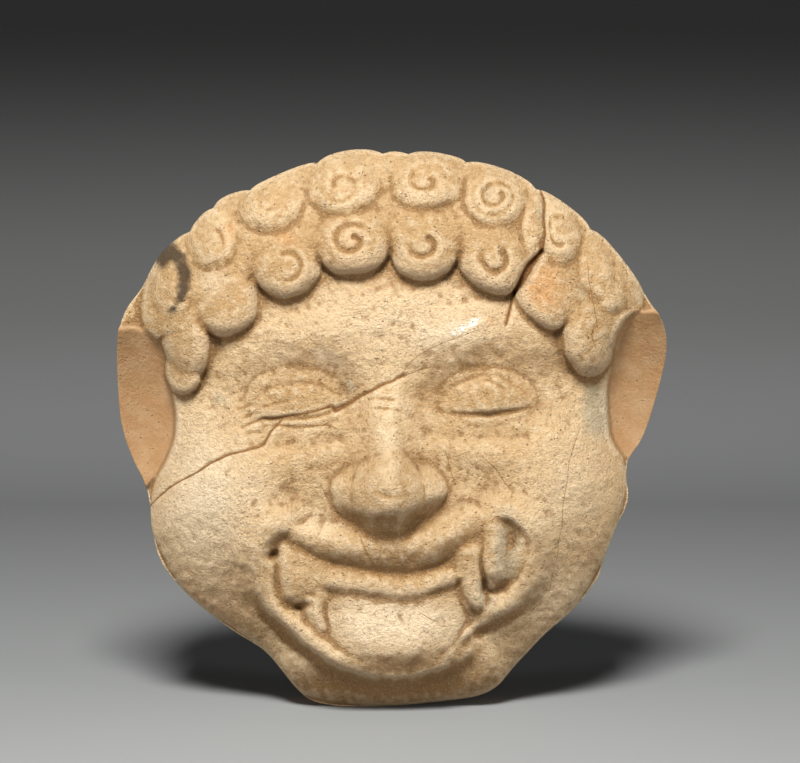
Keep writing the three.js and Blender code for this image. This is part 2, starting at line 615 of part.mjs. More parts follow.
// The whole plaque as one skin: out over the face, down the edge, in over the rim and the hollow.
function plaqueGeometry() {
  const skin = [];
  const middle = ring(1, () => 0, faceHeight, UPWARD_LOOK)[0];
  for (let k = 1; k < FRONT_RINGS; k++) {
    const share = k / FRONT_RINGS;
    skin.push(ring(RING_SIDES * k, (angle) => share * outlineRadius(angle), faceHeight, UPWARD_LOOK));
  }
  const sides = RING_SIDES * FRONT_RINGS;
  skin.push(ring(sides, (angle) => EDGE_SHARE * outlineRadius(angle), faceHeight, UPWARD_LOOK));
  skin.push(ring(sides, outlineRadius, faceHeight, UPWARD_LOOK));
  for (const share of WALL_SHARES) {
    skin.push(ring(
      sides,
      (angle) => THREE.MathUtils.lerp(footRadius(angle), outlineRadius(angle), share),
      (x, z) => share * faceHeight(x, z),
      0,
    ));
  }
  skin.push(ring(sides, footRadius, () => 0, 0));
  skin.push(ring(HOLLOW_SIDES, (angle) => HOLLOW_SHARE * headRadius(angle), () => 0, 0));
  for (const share of HOLLOW_SHARES) {
    const depth = HOLLOW_DEPTH * (1 - share ** HOLLOW_FULLNESS) ** HOLLOW_STEEPNESS;
    const count = Math.max(RING_SIDES, Math.round(HOLLOW_SIDES * share));
    skin.push(ring(count, (angle) => share * HOLLOW_SHARE * headRadius(angle), () => depth, 0));
  }
  const hollowMiddle = ring(1, () => 0, () => HOLLOW_DEPTH, 0)[0];

  const triangles = [];
  fan(triangles, middle, skin[0], false);
  for (let k = 1; k < skin.length; k++) {
    stitch(triangles, skin[k - 1], skin[k]);
  }
  fan(triangles, hollowMiddle, skin.at(-1), true);

  const positions = triangles.flat().flatMap((corner) => corner.toArray());
  const geometry = new THREE.BufferGeometry();
  geometry.setAttribute('position', new THREE.Float32BufferAttribute(positions, 3));
  geometry.computeVertexNormals();
  return geometry;
}

const TERRACOTTA = new THREE.MeshStandardMaterial({ color: 0xcdac80, roughness: 0.9, metalness: 0 });

const plaque = new THREE.Mesh(plaqueGeometry(), TERRACOTTA);
plaque.name = 'gorgon_plaque';
plaque.position.set(0, 0, -MOUNT_HEIGHT);

const object = new THREE.Group();
object.add(plaque);

export default object;
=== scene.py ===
import math

import bpy
import numpy as np
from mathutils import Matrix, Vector


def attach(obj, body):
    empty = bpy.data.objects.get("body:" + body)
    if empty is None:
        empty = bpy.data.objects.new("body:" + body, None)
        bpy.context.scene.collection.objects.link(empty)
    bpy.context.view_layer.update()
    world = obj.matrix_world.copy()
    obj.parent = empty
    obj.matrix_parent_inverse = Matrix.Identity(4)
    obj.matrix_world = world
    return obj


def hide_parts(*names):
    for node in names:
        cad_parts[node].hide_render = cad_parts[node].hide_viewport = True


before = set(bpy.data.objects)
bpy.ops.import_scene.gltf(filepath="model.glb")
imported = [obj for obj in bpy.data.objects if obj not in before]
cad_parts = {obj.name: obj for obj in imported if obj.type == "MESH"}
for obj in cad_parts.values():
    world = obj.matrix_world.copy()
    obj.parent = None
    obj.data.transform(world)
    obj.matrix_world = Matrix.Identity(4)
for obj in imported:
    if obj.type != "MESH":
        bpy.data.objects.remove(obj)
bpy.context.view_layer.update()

# The plain mask. Coarse clay was pressed by hand into a mould and trimmed round its back, so the
# face is a shallow dome that ends in a square edge against the wall. Sizes are in millimetres,
# to the right of the middle of the face and up from it, and depth is measured off the wall.
EDGE_DEPTH = 13
DOME_RISE = 24
DOME_FULLNESS = 2.4
JAW_STEEPNESS = 0.66
HAIR_STEEPNESS = 0.52
SINE_AT_TEMPLE = 0.2
SINE_AT_CROWN = 0.8
TRIMMED_OUTLINE = [
    (0.0, 89.7), (15.5, 88.7), (34.9, 83.9), (48.8, 76.8), (64.0, 65.4), (75.6, 52.2),
    (81.8, 42.8), (86.9, 34.1), (88.2, 26.0), (86.6, 15.7), (83.4, 4.0), (80.5, -3.4),
    (76.6, -9.2), (75.9, -15.0), (76.3, -23.1), (72.4, -32.2), (70.1, -38.0), (67.9, -45.1),
    (66.2, -49.3), (59.5, -58.0), (49.8, -66.4), (40.1, -77.1), (31.3, -85.8), (15.5, -89.0),
    (0.0, -90.3), (-15.8, -90.6), (-25.9, -88.7), (-31.0, -84.5), (-36.2, -78.0), (-42.0, -71.9),
    (-53.3, -64.5), (-65.3, -54.8), (-74.3, -44.1), (-77.6, -33.8), (-78.5, -24.1), (-80.1, -16.6),
    (-83.4, -10.2), (-86.9, -0.5), (-88.2, 9.9), (-88.2, 26.0), (-86.0, 37.3), (-80.1, 46.1),
    (-74.0, 56.4), (-64.6, 65.1), (-55.3, 73.8), (-42.0, 79.3), (-26.5, 85.8), (-13.6, 89.7),
]
PLAIN_HEAD = [
    (0.0, 91.0), (15.5, 90.0), (34.9, 85.8), (50.4, 78.7), (65.3, 67.4), (76.9, 54.5),
    (80.8, 40.6), (75.0, 19.6), (73.0, 3.4), (75.9, -17.6), (70.4, -38.0), (59.1, -58.3),
    (40.1, -76.8), (30.4, -85.8), (0.0, -90.3), (-27.8, -87.1), (-42.0, -71.9), (-65.9, -54.1),
    (-76.3, -37.0), (-78.2, -24.1), (-75.0, -3.1), (-76.3, 16.3), (-80.8, 40.6), (-73.7, 57.7),
    (-64.6, 67.4), (-54.9, 76.8), (-42.0, 81.3), (-26.5, 87.7), (-13.6, 91.0),
]
CURL_VALLEYS = [
    (-23.9, 86.4), (-2.9, 88.7), (5.2, 89.0), (23.9, 86.1), (46.2, 78.0), (64.0, 65.4),
    (-45.2, 77.1), (-58.2, 72.9), (-63.7, 63.2),
]
VALLEY_DEPTH = 1.5
VALLEY_WIDTH = 2.4
FACE_RINGS = 156
RING_SIDES = 6
EDGE_SHARE = 0.9965
CURVE_STEPS = 10
TURN = 2 * math.pi
# Lumps are given by their size, their seed and how far they shift or raise the clay.
WANDER = [(14, 15, 0.9), (6, 7, 0.42), (3, 4, 0.12)]
LUMP_TABLE = 64
LUMP_SHIFTS = (1 / 3, 1 / 7)


def fade(start, end, value):
    """A smooth step from 0 at one value to 1 at the other."""
    share = np.clip((value - start) / (end - start), 0, 1)
    return share * share * (3 - 2 * share)


def through(places, closed=False):
    """Points along a smooth curve through the places."""
    p = np.array(places, float)
    if closed:
        p = np.vstack([p[-1:], p, p[:2]])
    else:
        p = np.vstack([p[:1], p, p[-1:]])
    points = []
    for a, b, c, d in zip(p, p[1:], p[2:], p[3:]):
        for t in np.arange(CURVE_STEPS) / CURVE_STEPS:
            bend = (2 * a - 5 * b + 4 * c - d) * t * t + (3 * b - a - 3 * c + d) * t ** 3
            points.append((2 * b + (c - a) * t + bend) / 2)
    if not closed:
        points.append(p[-1])
    return np.array(points)


def reach(places, turn):
    """How far a closed outline is from the middle of the face in each direction."""
    curve = through(places, closed=True)
    turns = np.arctan2(curve[:, 1], curve[:, 0])
    order = np.argsort(turns)
    return np.interp(turn, turns[order], np.hypot(*curve.T)[order], period=TURN)


def outline(turn):
    """The trimmed outline with its ears, scalloped where the last row of curls stands over it."""
    far = reach(TRIMMED_OUTLINE, turn)
    for place in CURL_VALLEYS:
        off = np.abs(np.angle(np.exp(1j * (turn - math.atan2(place[1], place[0])))))
        far = far - VALLEY_DEPTH * np.exp(-off * np.hypot(*place) / VALLEY_WIDTH)
    return far


# Every second ring is turned by half a step, so that the triangles between two rings are even.
ring_counts = [RING_SIDES * k for k in range(1, FACE_RINGS)] + [RING_SIDES * FACE_RINGS] * 2
ring_shares = [k / FACE_RINGS for k in range(1, FACE_RINGS)] + [EDGE_SHARE, 1]
ring_leads = [0.5 * (k % 2) for k in range(len(ring_counts))]
turns = [(np.arange(count) + lead) * TURN / count for count, lead in zip(ring_counts, ring_leads)]
radii = [share * outline(turn) for share, turn in zip(ring_shares, turns)]
turn = np.concatenate([[0]] + turns)
radius = np.concatenate([[0]] + radii)
face_x = radius * np.cos(turn)
face_z = radius * np.sin(turn)


def lumps(size, seed, px=face_x, pz=face_z):
    """Smooth, even lumps about `size` millimetres across, from -1 to 1."""
    table = np.random.default_rng(seed).uniform(-1, 1, (LUMP_TABLE, LUMP_TABLE))
    u = (px * math.cos(seed) + pz * math.sin(seed)) / size + seed * LUMP_SHIFTS[0]
    v = (pz * math.cos(seed) - px * math.sin(seed)) / size + seed * LUMP_SHIFTS[1]
    i = np.floor(u).astype(int)
    j = np.floor(v).astype(int)
    s = fade(0, 1, u - i)
    t = fade(0, 1, v - j)

    def corner(right, over):
        return table[(i + right) % LUMP_TABLE, (j + over) % LUMP_TABLE]

    near = corner(0, 0) * (1 - s) + corner(1, 0) * s
    far = corner(0, 1) * (1 - s) + corner(1, 1) * s
    return near * (1 - t) + far * t


x = face_x.copy()
z = face_z.copy()
for size, seed, shift in WANDER:
    x += shift * lumps(size, seed)
    z += shift * lumps(size, seed + 1)

toward = np.arctan2(face_z, face_x)
share = np.clip(np.hypot(face_x, face_z) / reach(PLAIN_HEAD, toward), 0, 1)
under_hair = fade(SINE_AT_TEMPLE, SINE_AT_CROWN, np.sin(toward))
steepness = JAW_STEEPNESS + (HAIR_STEEPNESS - JAW_STEEPNESS) * under_hair
plain = EDGE_DEPTH + DOME_RISE * (1 - share ** DOME_FULLNESS) ** steepness


# Cheeks, brows and shut eyes. The mould gave them broad, soft forms, and the eyes are two heavy
# lids over a thin slit. A form is a place, its half width and height, its lean and its rise.
BROAD_FORMS = [
    ((-56.2, -19.9), 20, 24, 0, 4.6),
    ((56.2, -18.6), 20, 24, 0, 4.6),
    ((0.0, 36.4), 30, 14, 0, 2),
    ((-27.1, -18.6), 10, 8, 20, -1.4),
    ((27.8, -15.4), 14, 6, -22, -1.6),
    ((0.0, -86.1), 17, 5, 0, 2),
    ((-28.8, -77.4), 8, 7, -40, 1.8),
    ((30.1, -76.8), 9, 8, 40, 1.6),
    ((-15.5, 12.4), 12, 12, -20, -2.6),
    ((-33.0, 13.7), 23, 11, 6, -4.4),
    ((13.6, 12.1), 12, 12, 20, -3.0),
    ((33.3, 14.4), 25, 12, 0, -4.7),
    ((-15.2, 14.4), 1.8, 1.8, 0, -0.5),
]
BROWS = [
    {
        "line": [(-54.0, 14.7), (-45.2, 24.1), (-30.4, 28.6), (-16.8, 26.0), (-8.4, 16.3)],
        "rise": [0, 1.1, 1.9, 1.6, 0],
        "above": [9, 9, 8, 7, 6],
        "below": [9, 12, 12, 11, 8],
    },
    {
        "line": [(3.9, 15.7), (12.9, 25.4), (29.1, 32.2), (46.2, 30.5), (58.2, 21.5)],
        "rise": [0, 1.6, 2.2, 1.6, 0],
        "above": [6, 7, 9, 9, 9],
        "below": [8, 11, 12, 11, 9],
    },
]
EYES = [
    {
        "slit": [(-48.2, 1.8), (-40.1, 3.7), (-30.4, 4.4), (-22.6, 6.0), (-14.2, 8.9)],
        "ball": ((-30.7, 10.5), 17, 9.5, 6, 3.2),
        "crease": [(-47.2, 7.3), (-40.1, 12.8), (-29.7, 15.4), (-20.0, 14.1), (-12.9, 9.9)],
        "fold": [(-43.9, -4.4), (-29.7, -4.0), (-17.5, -1.1)],
    },
    {
        "slit": [(15.5, 7.6), (22.6, 6.0), (30.1, 5.3), (37.5, 5.7), (44.6, 8.2)],
        "ball": ((30.4, 11.1), 16.5, 9.5, 0, 4.0),
        "crease": [(13.6, 9.9), (19.7, 15.0), (28.4, 17.6), (37.5, 16.0), (43.9, 11.1)],
        "fold": [(10.7, 0.2), (25.2, -2.1), (43.0, -1.1)],
    },
]
LOWER_LID = 0.55
LID_STEP = (-0.8, 0.4)
BALL_STEEPNESS = 1.1
SLIT_DEPTH = [0.2, 0.9, 1.1, 1.0, 0.4]
SLIT_WIDTH = [0.8]
CREASE_DEPTH = [0, 0.4, 0.5, 0.4, 0.1]
CREASE_WIDTH = [1.1]
FOLD_DEPTH = [0.9, 1.2, 0.9]
FOLD_WIDTH = [2.8, 3.3, 2.7]
WRINKLES = [
    [(25.2, 15.0), (29.7, 16.0), (34.9, 13.7), (38.8, 10.8)],
    [(-50.4, 7.3), (-45.9, 8.6), (-40.7, 8.2)],
    [(-49.8, 4.0), (-45.2, 5.7), (-40.1, 5.7)],
    [(-48.2, -1.1), (-43.9, -0.2), (-40.1, -0.8)],
    [(-42.7, 0.8), (-37.8, 2.1), (-29.7, 1.5), (-20.7, 2.7)],
    [(-45.2, 6.3), (-38.8, 8.6), (-28.8, 10.5)],
    [(-8.4, 9.9), (-2.6, 11.1), (4.5, 9.9)],
    [(-6.8, 6.9), (-1.3, 8.2), (3.2, 6.6)],
]
WRINKLE_DEPTH = [0, 0.45, 0.45, 0]
WRINKLE_WIDTH = [0.6]
NEAR_LINE = 16
NEAR_BROW = 24
NEAR_EYE = 26
FAR_OFF = 1e3
CREST_SQUARENESS = 2.4
FIRM_SQUARENESS = 1.5
FIRM_STEEPNESS = 0.65


def within(place, wide, tall, lean=0):
    """Every point in a form's own leaning axes, as shares of its half width and half height."""
    tilt = math.radians(lean)
    right = x - place[0]
    over = z - place[1]
    across = (right * math.cos(tilt) + over * math.sin(tilt)) / wide
    up = (over * math.cos(tilt) - right * math.sin(tilt)) / tall
    return across, up


def mound(place, wide, tall, lean, rise):
    """A soft mound, or a hollow where its rise is below zero."""
    across, up = within(place, wide, tall, lean)
    return rise * np.exp(-across ** 2 - up ** 2)


class Stroke:
    """A smooth line drawn on the face: how far each point is from it, how far along, which side."""

    def __init__(self, line, near=NEAR_LINE):
        nodes = through(line)
        low = nodes.min(0) - near
        high = nodes.max(0) + near
        close = (x > low[0]) & (x < high[0]) & (z > low[1]) & (z < high[1])
        px = x[close]
        pz = z[close]
        distance = np.full(px.shape, FAR_OFF)
        along = np.zeros(px.shape)
        side = np.ones(px.shape)
        ways = np.diff(nodes, axis=0)
        lengths = np.hypot(*ways.T)
        starts = np.concatenate([[0], np.cumsum(lengths)])
        for start, way, length, before in zip(nodes, ways, lengths, starts):
            right = px - start[0]
            over = pz - start[1]
            place = np.clip((right * way[0] + over * way[1]) / length ** 2, 0, 1)
            off_x = right - place * way[0]
            off_z = over - place * way[1]
            off = np.hypot(off_x, off_z)
            nearer = off < distance
            distance[nearer] = off[nearer]
            along[nearer] = (before + place * length)[nearer] / starts[-1]
            side[nearer] = np.sign(way[0] * off_z - way[1] * off_x)[nearer]
        self.distance = np.full(x.shape, FAR_OFF)
        self.along = np.zeros(x.shape)
        self.side = np.ones(x.shape)
        self.distance[close] = distance
        self.along[close] = along
        self.side[close] = side

    def spread(self, values):
        """The value that a row of values, evenly placed along the line, has beside each point."""
        return np.interp(self.along, np.linspace(0, 1, len(values)), values)

    def crest(self, rise, above, below, firm=False):
        """A ridge that fades out above the line, and below it fades or rolls under if firm."""
        width = np.where(self.side > 0, self.spread(above), self.spread(below))
        off = self.distance / width
        fall = np.exp(-off ** CREST_SQUARENESS)
        if firm:
            rolled = np.clip(1 - off ** FIRM_SQUARENESS, 0, None) ** FIRM_STEEPNESS
            fall = np.where(self.side > 0, fall, rolled)
        return self.spread(rise) * fall

    def groove(self, depth, width):
        """A round groove along the line."""
        return self.spread(depth) * np.exp(-(self.distance / self.spread(width)) ** 2)


relief = np.zeros_like(x)
for form in BROAD_FORMS:
    relief += mound(*form)
for brow in BROWS:
    relief += Stroke(brow["line"], NEAR_BROW).crest(brow["rise"], brow["above"], brow["below"])
for eye in EYES:
    slit = Stroke(eye["slit"], NEAR_EYE)
    place, wide, tall, lean, rise = eye["ball"]
    across, up = within(place, wide, tall, lean)
    ball = rise * np.clip(1 - across ** 2 - up ** 2, 0, None) ** BALL_STEEPNESS
    upper = fade(*LID_STEP, slit.distance * slit.side)
    relief += ball * (LOWER_LID + (1 - LOWER_LID) * upper)
    relief -= slit.groove(SLIT_DEPTH, SLIT_WIDTH)
    relief -= Stroke(eye["crease"]).groove(CREASE_DEPTH, CREASE_WIDTH)
    relief -= Stroke(eye["fold"]).groove(FOLD_DEPTH, FOLD_WIDTH)
for line in WRINKLES:
    relief -= Stroke(line).groove(WRINKLE_DEPTH, WRINKLE_WIDTH)


# The nose: one broad mass with its ridge, ball and wings run together, cut back underneath to a
# triangle that meets the lip. Clay stuck in the mould, so the tip is worn and creased.
NOSE_MIDDLE = -1.6
RIDGE = [(-40, 10.2), (-18, 10.4), (-8, 8.6), (0, 7.0), (8, 5.2), (15, 3.3), (23, 1.2), (30, 0)]
RIDGE_WIDTH = [(-40, 10.5), (-20, 10.5), (-8, 9), (0, 7.8), (8, 7.6), (16, 9.0), (30, 13)]
RIDGE_FALL = 1.1
RIDGE_SQUARENESS = 2.1
NOSE_MASS = ((-0.6, -19.6), 18.2, 11, 0, 8.2)
NOSE_BALL = ((-1.3, -18.3), 11.5, 11, 0, 13.2)
NOSE_DROOP = 0.6
NOSE_CLIMB = 0.74
ROUNDNESS_BELOW = 0.6
ROUNDNESS_ABOVE = 1.2
NOSE_FIRMNESS = 2.4
NOSE_WINGS = [
    ((-14.5, -19.9), 4.5, 5.4, -20, 1.4),
    ((12.6, -18.9), 4.5, 5.4, 20, 1.6),
]
NOSE_CREASES = [
    [(-20.0, -19.9), (-17.8, -23.8), (-14.9, -27.6)],
    [(-5.8, -17.9), (-2.9, -19.9), (0.6, -20.5), (3.9, -18.6)],
]
NOSE_CREASE_DEPTH = [0.2, 0.6, 0.2]
NOSE_CREASE_WIDTH = [0.9]
NOSTRILS = [
    ((-10.0, -28.9), 3.4, 1.8, -48, 1.4),
    ((7.1, -28.6), 4.0, 2.2, 40, 1.6),
]
UNDERSIDE_FOOT = [
    (-1, -38), (4, -37.4), (8, -33.6), (11.5, -29.4), (15.5, -25.4), (18.5, -20.6), (22, -12),
]
UNDERSIDE_SLOPE = [(-1, 1.15), (6, 1.1), (12, 0.9), (22, 0.9)]
UNDERSIDE_STEP = 1.2
UNDERSIDE_SOFTNESS = 1.2
UNDERSIDE_EDGE = 0.5


def join(first, second, firmness=5):
    """The higher of two forms, with the corner between them filled."""
    first = np.clip(first, 0, None)
    second = np.clip(second, 0, None)
    return (first ** firmness + second ** firmness) ** (1 / firmness)


def lower_of(first, second, softness):
    """The lower of two surfaces, rounded where they cross."""
    share = np.clip(0.5 + 0.5 * (second - first) / softness, 0, 1)
    return second + (first - second) * share - softness * share * (1 - share)


def levels(stations, at=z):
    """A value that changes smoothly from station to station, up the face or across it."""
    curve = through(stations)
    return np.interp(at, curve[:, 0], curve[:, 1])


across = np.abs(x - NOSE_MIDDLE) / levels(RIDGE_WIDTH)
nose = levels(RIDGE) * np.exp(-RIDGE_FALL * across ** RIDGE_SQUARENESS)
for place, wide, tall, lean, rise in (NOSE_MASS, NOSE_BALL):
    across, up = within(place, wide, tall, lean)
    up = np.where(up < 0, NOSE_DROOP * up, NOSE_CLIMB * up)
    roundness = ROUNDNESS_BELOW + (ROUNDNESS_ABOVE - ROUNDNESS_BELOW) * fade(0, 1, up)
    mass = rise * np.clip(1 - across ** 2 - up ** 2, 0, None) ** roundness
    nose = join(nose, mass, NOSE_FIRMNESS)
for wing in NOSE_WINGS:
    nose = nose + mound(*wing)
for line in NOSE_CREASES:
    nose = nose - Stroke(line).groove(NOSE_CREASE_DEPTH, NOSE_CREASE_WIDTH)
aside = np.abs(x - NOSE_MIDDLE)
climb = z - levels(UNDERSIDE_FOOT, aside)
underside = UNDERSIDE_STEP + levels(UNDERSIDE_SLOPE, aside) * climb
nose = lower_of(nose, underside, UNDERSIDE_SOFTNESS) * fade(-UNDERSIDE_EDGE, UNDERSIDE_EDGE, climb)
for nostril in NOSTRILS:
    nose -= mound(*nostril)
nose = np.clip(nose, 0, None)


# The open mouth. The lip is drawn back in a wide grin over a row of teeth, two pairs of tusks
# stand in its corners between thick folds of the cheek, and the tongue hangs over the lower lip.
# A tusk is its line, rise and half width, and a groove is its line, depth and half width.
TONGUE_MIDDLE = (-0.2, -54.8)
TONGUE_HALF = 24.1
TONGUE_DROP = 26.2
TONGUE_SQUARENESS = 3
TONGUE_FULLNESS = 3.4
TONGUE_STEEPNESS = 0.8
TONGUE_RISE = [
    (-84, 12.2), (-80, 13.0), (-76, 13.0), (-72, 12.0), (-66, 9.0), (-60, 6.2), (-54, 3.8),
    (-48, 2.6), (-42, 0),
]
LIPS_AND_FOLDS = [
    {
        "line": [
            (-23.9, -47.3), (-12.9, -49.9), (-0.6, -50.9), (10.3, -49.9), (19.4, -47.0),
            (24.6, -43.8),
        ],
        "rise": [3.6, 4.8, 5.0, 5.0, 4.8, 3.4],
        "above": [5, 6, 6, 6, 5, 5],
        "below": [3.2, 3.6, 4.2, 4.2, 3.6, 3.2],
        "firm": True,
    },
    {
        "line": [
            (-34.3, -31.5), (-28.1, -33.4), (-20.0, -35.4), (-11.0, -37.0), (-1.3, -37.6),
            (7.4, -36.7), (16.2, -33.8), (23.9, -29.6), (31.7, -26.3),
        ],
        "rise": [2.4, 4.6, 5.6, 6.2, 6.4, 6.4, 6.0, 5.0, 2.5],
        "above": [4, 5.4, 6.2, 6.6, 6.6, 6.6, 6.2, 5.4, 4],
        "below": [3.2, 5.2, 6.8, 8.0, 8.5, 8.2, 7.6, 6.6, 4.6],
        "firm": True,
    },
    {
        "line": [
            (-25.9, -31.5), (-33.6, -29.9), (-40.4, -32.5), (-43.9, -38.9), (-43.6, -46.7),
            (-40.7, -53.8), (-35.9, -59.6), (-30.1, -64.5), (-23.9, -69.3), (-17.8, -73.5),
            (-11.0, -76.4), (-2.3, -77.7), (6.8, -77.7), (14.9, -75.8), (20.4, -71.6),
            (24.2, -66.7),
        ],
        "rise": [0, 4.4, 4.8, 4.6, 4.4, 4.8, 5.6, 6.6, 7.6, 8.8, 8.6, 7.8, 7.4, 7.2, 6.5, 4.0],
        "above": [2.5, 3.4, 4.4, 5.4, 6.0, 6.2, 6.0, 5.4, 5.0, 5.4, 6, 6, 6, 6, 5, 4],
        "below": [5, 6.5, 7, 6.5, 5.2, 4.2, 3.8, 3.8, 3.8, 3.9, 4.2, 4.4, 4.4, 4.2, 3.6, 3.2],
        "firm": False,
    },
    {
        "line": [
            (27.8, -27.6), (34.9, -26.0), (41.4, -29.2), (44.6, -37.0), (43.6, -45.7),
            (39.1, -53.5), (33.3, -59.3), (26.5, -64.5),
        ],
        "rise": [2, 4.0, 4.8, 4.4, 4.2, 4.6, 4.8, 2],
        "above": [5, 6, 7, 7, 6, 4.8, 4.0, 3.4],
        "below": [2.4, 2.8, 3.0, 3.4, 4.2, 4.8, 4.6, 4],
        "firm": False,
    },
]
CORNERS = [
    ((-30.4, -47.7), 12, 11, 10, 4.6),
    ((-38.1, -46.7), 7, 13, 10, 3.2),
    ((29.7, -42.5), 10, 14, 0, 4.8),
    ((38.5, -39.3), 8, 13, 0, 4.8),
    ((33.0, -56.7), 8, 6, 30, 5.2),
]
TUSKS = [
    ([(-33.9, -35.4), (-34.3, -41.8), (-33.0, -51.5)], [1.6, 4.2, 5.0], [3.0, 4.4, 5.8]),
    ([(-26.2, -54.8), (-24.9, -58.3), (-23.3, -62.5)], [4.4, 4.8, 4.6], [4.6, 4.4, 4.2]),
    ([(25.2, -39.3), (25.9, -47.3), (26.2, -54.1)], [4.6, 5.6, 5.8], [5.8, 5.4, 4.4]),
    ([(31.7, -27.6), (32.6, -36.0), (33.3, -43.5)], [3.6, 5.4, 5.8], [4.4, 5.0, 5.4]),
]
MOUTH_GROOVES = [
    (
        [
            (-42.0, -29.6), (-46.2, -34.7), (-47.2, -40.6), (-46.2, -46.4), (-44.3, -53.2),
            (-40.4, -60.9), (-34.3, -67.7), (-27.5, -71.9), (-21.7, -75.5),
        ],
        [0, 0.5, 0.7, 0.8, 1.0, 1.5, 2.0, 2.2, 0],
        [2.5, 1.7, 1.9, 2.2, 2.2],
    ),
    (
        [
            (45.9, -54.1), (39.7, -58.7), (33.9, -61.9), (28.4, -64.5), (23.9, -68.3),
            (21.0, -72.5), (16.8, -76.8),
        ],
        [0, 0.8, 2.0, 2.8, 2.6, 1.6, 0],
        [2.0, 2.2, 2.0, 1.6],
    ),
    ([(-37.5, -53.8), (-33.0, -58.3), (-28.4, -61.9)], [0.2, 0.9, 0.3], [1.6, 1.8]),
    (
        [(-38.1, -37.3), (-37.8, -42.5), (-36.8, -49.0), (-33.9, -55.1)],
        [0.4, 1.3, 1.5, 0.6],
        [1.5, 1.8],
    ),
    ([(-29.7, -56.7), (-28.4, -59.9), (-27.1, -63.2)], [0.9, 0.8, 0.2], [1.2, 1.2]),
    ([(-22.3, -55.7), (-20.7, -59.6), (-20.0, -63.5)], [0.2, 0.6, 0.2], [1.1, 1.1]),
    (
        [(19.7, -41.8), (20.7, -47.3), (22.6, -53.5), (25.2, -58.0)],
        [0.2, 0.6, 0.8, 0.8],
        [1.0, 0.9],
    ),
    (
        [(28.4, -34.7), (28.4, -41.8), (29.1, -49.0), (29.4, -54.1)],
        [0.2, 1.4, 2.6, 1.4],
        [1.0, 1.3],
    ),
    ([(36.8, -29.6), (38.1, -35.7), (37.8, -42.5)], [0.4, 1.8, 0.2], [2.6, 2.0]),
    ([(29.1, -50.9), (33.0, -50.9), (37.2, -48.3)], [1.2, 1.6, 0.4], [1.1, 1.3]),
]
MOUTH_HOLES = [
    ((-38.5, -39.6), 2.2, 1.4, 38, -3.0),
    ((37.8, -33.8), 2.4, 4.6, -10, -1.8),
    ((29.4, -49.6), 1.5, 2.2, -10, -1.8),
    ((-29.4, -56.1), 2.8, 1.2, 20, -2.0),
]
NEAR_MOUTH = 24
MOUTH_FIRMNESS = 6

drop = np.clip(TONGUE_MIDDLE[1] - z, 0, None) / TONGUE_DROP
aside = np.abs(x - TONGUE_MIDDLE[0]) / TONGUE_HALF
edgeward = (aside ** TONGUE_SQUARENESS + drop ** TONGUE_SQUARENESS) ** (1 / TONGUE_SQUARENESS)
edgeward = np.clip(edgeward, 0, 1)
mouth = levels(TONGUE_RISE) * (1 - edgeward ** TONGUE_FULLNESS) ** TONGUE_STEEPNESS
for form in LIPS_AND_FOLDS:
    edge = Stroke(form["line"], NEAR_MOUTH)
    ridge = edge.crest(form["rise"], form["above"], form["below"], form["firm"])
    mouth = join(mouth, ridge, MOUTH_FIRMNESS)
for corner in CORNERS:
    mouth = join(mouth, mound(*corner), MOUTH_FIRMNESS)
for line, rise, width in TUSKS:
    mouth = join(mouth, Stroke(line).crest(rise, width, width), MOUTH_FIRMNESS)
for line, depth, width in MOUTH_GROOVES:
    mouth -= Stroke(line).groove(depth, width)

relief += np.where(mouth > 0, join(nose, mouth), nose + mouth)
for form in MOUTH_HOLES:
    relief += mound(*form)


# The hair: two rows of round snail curls on a thick mass that laps over the forehead. Each curl
# was a coil in the mould. A curl is its place, half width and height, lean and rise, and its
# coil: the inner and outer share of the curl, the turns, the angle it starts at and its depth.
CURLS = [
    ((-67.2, 18.9), 5.8, 7.6, 8, 5.0, None),
    ((-65.9, 29.9), 8.4, 12.5, 6, 6.6, None),
    ((-52.4, 40.9), 10.6, 11.6, -10, 7.4, None),
    ((-33.3, 53.2), 11.8, 11.6, -14, 7.8, (0.25, 0.55, 0.8, 150, 1.2)),
    ((-12.6, 59.6), 12.0, 11.6, 0, 8.4, (0.06, 0.56, 1.3, 100, 1.9)),
    ((10.0, 59.0), 12.2, 11.8, 0, 8.4, (0.12, 0.46, 0.8, 90, 2.2)),
    ((32.0, 54.8), 11.8, 11.6, 0, 8.4, (0.28, 0.40, 0.85, 60, 2.2)),
    ((49.8, 44.8), 10.6, 12.3, 0, 6.8, None),
    ((62.7, 30.5), 9.0, 14.4, 4, 7.2, None),
    ((-71.4, 48.0), 7.6, 14.0, 14, 7.4, None),
    ((-56.9, 61.6), 9.6, 11.6, 6, 8.4, (0.3, 0.6, 0.5, 60, 0.8)),
    ((-38.1, 72.5), 11.4, 10.8, -20, 8.7, (0.2, 0.6, 0.8, 320, 0.6)),
    ((-15.8, 77.7), 12.6, 10.6, 0, 9.0, (0.18, 0.56, 1.2, 200, 0.8)),
    ((11.0, 79.7), 12.8, 10.4, 0, 9.0, (0.14, 0.56, 1.3, 60, 0.9)),
    ((32.3, 73.8), 11.4, 10.6, 0, 9.3, (0.14, 0.72, 1.9, 60, 1.0)),
    ((44.6, 66.1), 4.6, 10.2, -4, 7.2, None),
    ((53.6, 62.9), 7.6, 10.6, 8, 8.8, (0.3, 0.6, 0.8, 300, 0.9)),
    ((64.6, 51.9), 6.0, 11.4, 14, 7.4, None),
    ((69.5, 44.8), 5.6, 8.4, 10, 7.2, (0.3, 0.6, 0.6, 200, 0.8)),
]
COIL_WIDTH = 0.1
MOST_WINDINGS = 3
COIL_START = (-0.02, 0.1)
COIL_FADE = 0.25
COIL_TAIL = 0.55
OVERHANG = 1.5
UPWARD_PULL = 0.75
CURL_FULLNESS = 3
CURL_STEEPNESS = 0.5
CURL_FIRMNESS = 6
